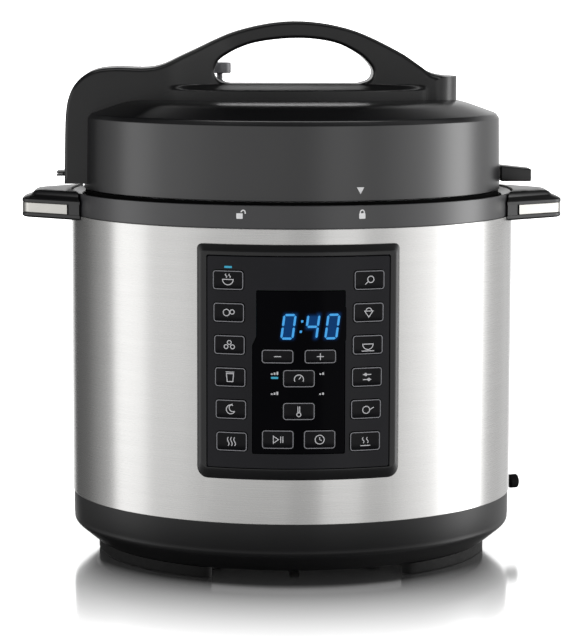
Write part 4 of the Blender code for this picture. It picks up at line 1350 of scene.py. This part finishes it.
def build_camera():
    """Long lens, a little left of the front and slightly above the lid."""
    data = bpy.data.cameras.new("camera")
    data.lens = LENS
    data.sensor_width = 36
    data.sensor_fit = "AUTO"
    data.clip_end = 400
    camera = new_object("camera", data)
    place = Matrix.Translation(polar(CAMERA_DISTANCE, CAMERA_ANGLE, CAMERA_HEIGHT))
    turn = Matrix.Rotation(radians(CAMERA_ANGLE), 4, "Z")
    pitch = Matrix.Rotation(radians(90 - CAMERA_PITCH), 4, "X")
    roll = Matrix.Rotation(radians(CAMERA_ROLL), 4, "Z")
    camera.matrix_world = place @ turn @ pitch @ roll
    bpy.context.scene.camera = camera


# The floor's glow fades as painted shadow near the object: full from the second distance outward, and
# dark within the first.
FLOOR_DARK = 0.128
FLOOR_LIT = 0.262


def build_floor():
    """Wide lit floor with a soft sheen, dimmer near the object where its glow fades as painted shadow,
    unseen in its reflections.
    """
    g = Surface("pale_floor")
    g.tint(g.noise(g.place, scale=90, detail=2), (0.84, 0.84, 0.84), (0.86, 0.86, 0.86))
    distance = g.node("ShaderNodeVectorMath", {0: g.place}, operation="LENGTH").outputs["Value"]
    # Painted shadow: the glow is dark near the axis and rises to full away from the object.
    glow_with_painted_shadow = g.span(distance, 0.0, 0.95, FLOOR_DARK, FLOOR_LIT)
    g.link(glow_with_painted_shadow, g.inputs["Emission Strength"])
    g.set(Roughness=0.12, Metallic=0.85, Emission_Color=(1, 1, 1, 1))
    bm = bmesh.new()
    bmesh.ops.create_circle(bm, cap_ends=True, segments=64, radius=150)
    mesh = mesh_of("floor", bm)
    mesh.materials.append(g.material)
    floor = new_object("floor", mesh)
    floor.visible_glossy = False


# Brightness of the side walls and of the back wall by angle from the front.
SIDE_WALLS = (
    (-180, 0.00), (-166, 0.00), (-150, 0.12), (-134, 0.16), (-122, 0.36), (-108, 0.60), (-105, 1.6),
    (-84, 1.45), (-80, 1.05), (-60, 1.02), (-42, 0.82), (-14, 0.76), (-4, 0.78), (-1, 0.64), (12, 0.70),
    (15, 1.12), (33, 1.16), (37, 0.84), (47, 0.82), (58, 1.12), (78, 1.50), (86, 2.2), (96, 4.0),
    (109, 4.0), (116, 1.1), (123, 0.70), (137, 0.62), (150, 0.72), (160, 0.50), (168, 0.0), (180, 0.0),
)
BACK_WALL = ((-180, 1.0), (-168, 1.0), (-158, 0.0), (158, 0.0), (168, 1.0), (180, 1.0))

# How both walls change with height, by the sine of elevation.
SIDE_HEIGHTS = ((-1.0, 0.04), (-0.46, 0.20), (-0.30, 1.0), (0.30, 1.0), (0.48, 0.10), (1.0, 0.08))
BACK_HEIGHTS = ((-1.0, 0.0), (-0.36, 0.0), (-0.26, 1.5), (0.20, 1.5), (0.27, 0.0),
                (0.32, 0.0), (0.35, 1.0), (0.40, 1.0), (0.43, 0.0), (1.0, 0.0))


def build_world():
    """Studio walls: brightest at the right, dimmer in front, white at the back near the horizon."""
    world = bpy.data.worlds.new("studio")
    bpy.context.scene.world = world
    world.use_nodes = True
    g = Graph(world.node_tree, "Generated")
    x, y, z = g.parts()
    angle = g.math("ARCTAN2", x, g.math("MULTIPLY", y, -1.0))
    walls = []
    for across, up in ((SIDE_WALLS, SIDE_HEIGHTS), (BACK_WALL, BACK_HEIGHTS)):
        walls.append(g.vector("MULTIPLY", g.ramp(angle, -pi, pi, across), g.ramp(z, -1.0, 1.0, up)))
    g.link(g.vector("ADD", *walls), g.tree.nodes["Background"].inputs["Color"])


def add_softbox(name, angle, distance, height, size, power):
    """Soft rectangular lamp that faces the middle of the object."""
    data = bpy.data.lights.new(name, "AREA")
    data.shape = "RECTANGLE"
    data.size, data.size_y = size
    data.energy = power
    lamp = new_object(name, data)
    lamp.location = polar(distance, angle, height)
    aim = Vector((0, 0, 0.15)) - lamp.location
    lamp.rotation_mode = "QUATERNION"
    lamp.rotation_quaternion = aim.to_track_quat("-Z", "Y")
    lamp.visible_camera = False


def build_studio():
    build_camera()
    build_floor()
    build_world()
    add_softbox("top_light", 0, 0.0, 1.9, (1.6, 0.5), 6)
    bpy.context.scene.view_settings.view_transform = "Standard"


def main():
    dress_nodes()
    build_base()
    build_body()
    build_bezel()
    build_key_panel()
    build_keys()
    build_lamps_and_labels()
    build_display()
    build_marks()
    build_side_handles()
    build_lid()
    build_lid_handle()
    build_lid_tabs()
    build_valves()
    build_inner_lid()
    build_well()
    build_pot()
    build_gland()
    build_collector()
    build_studio()


main()
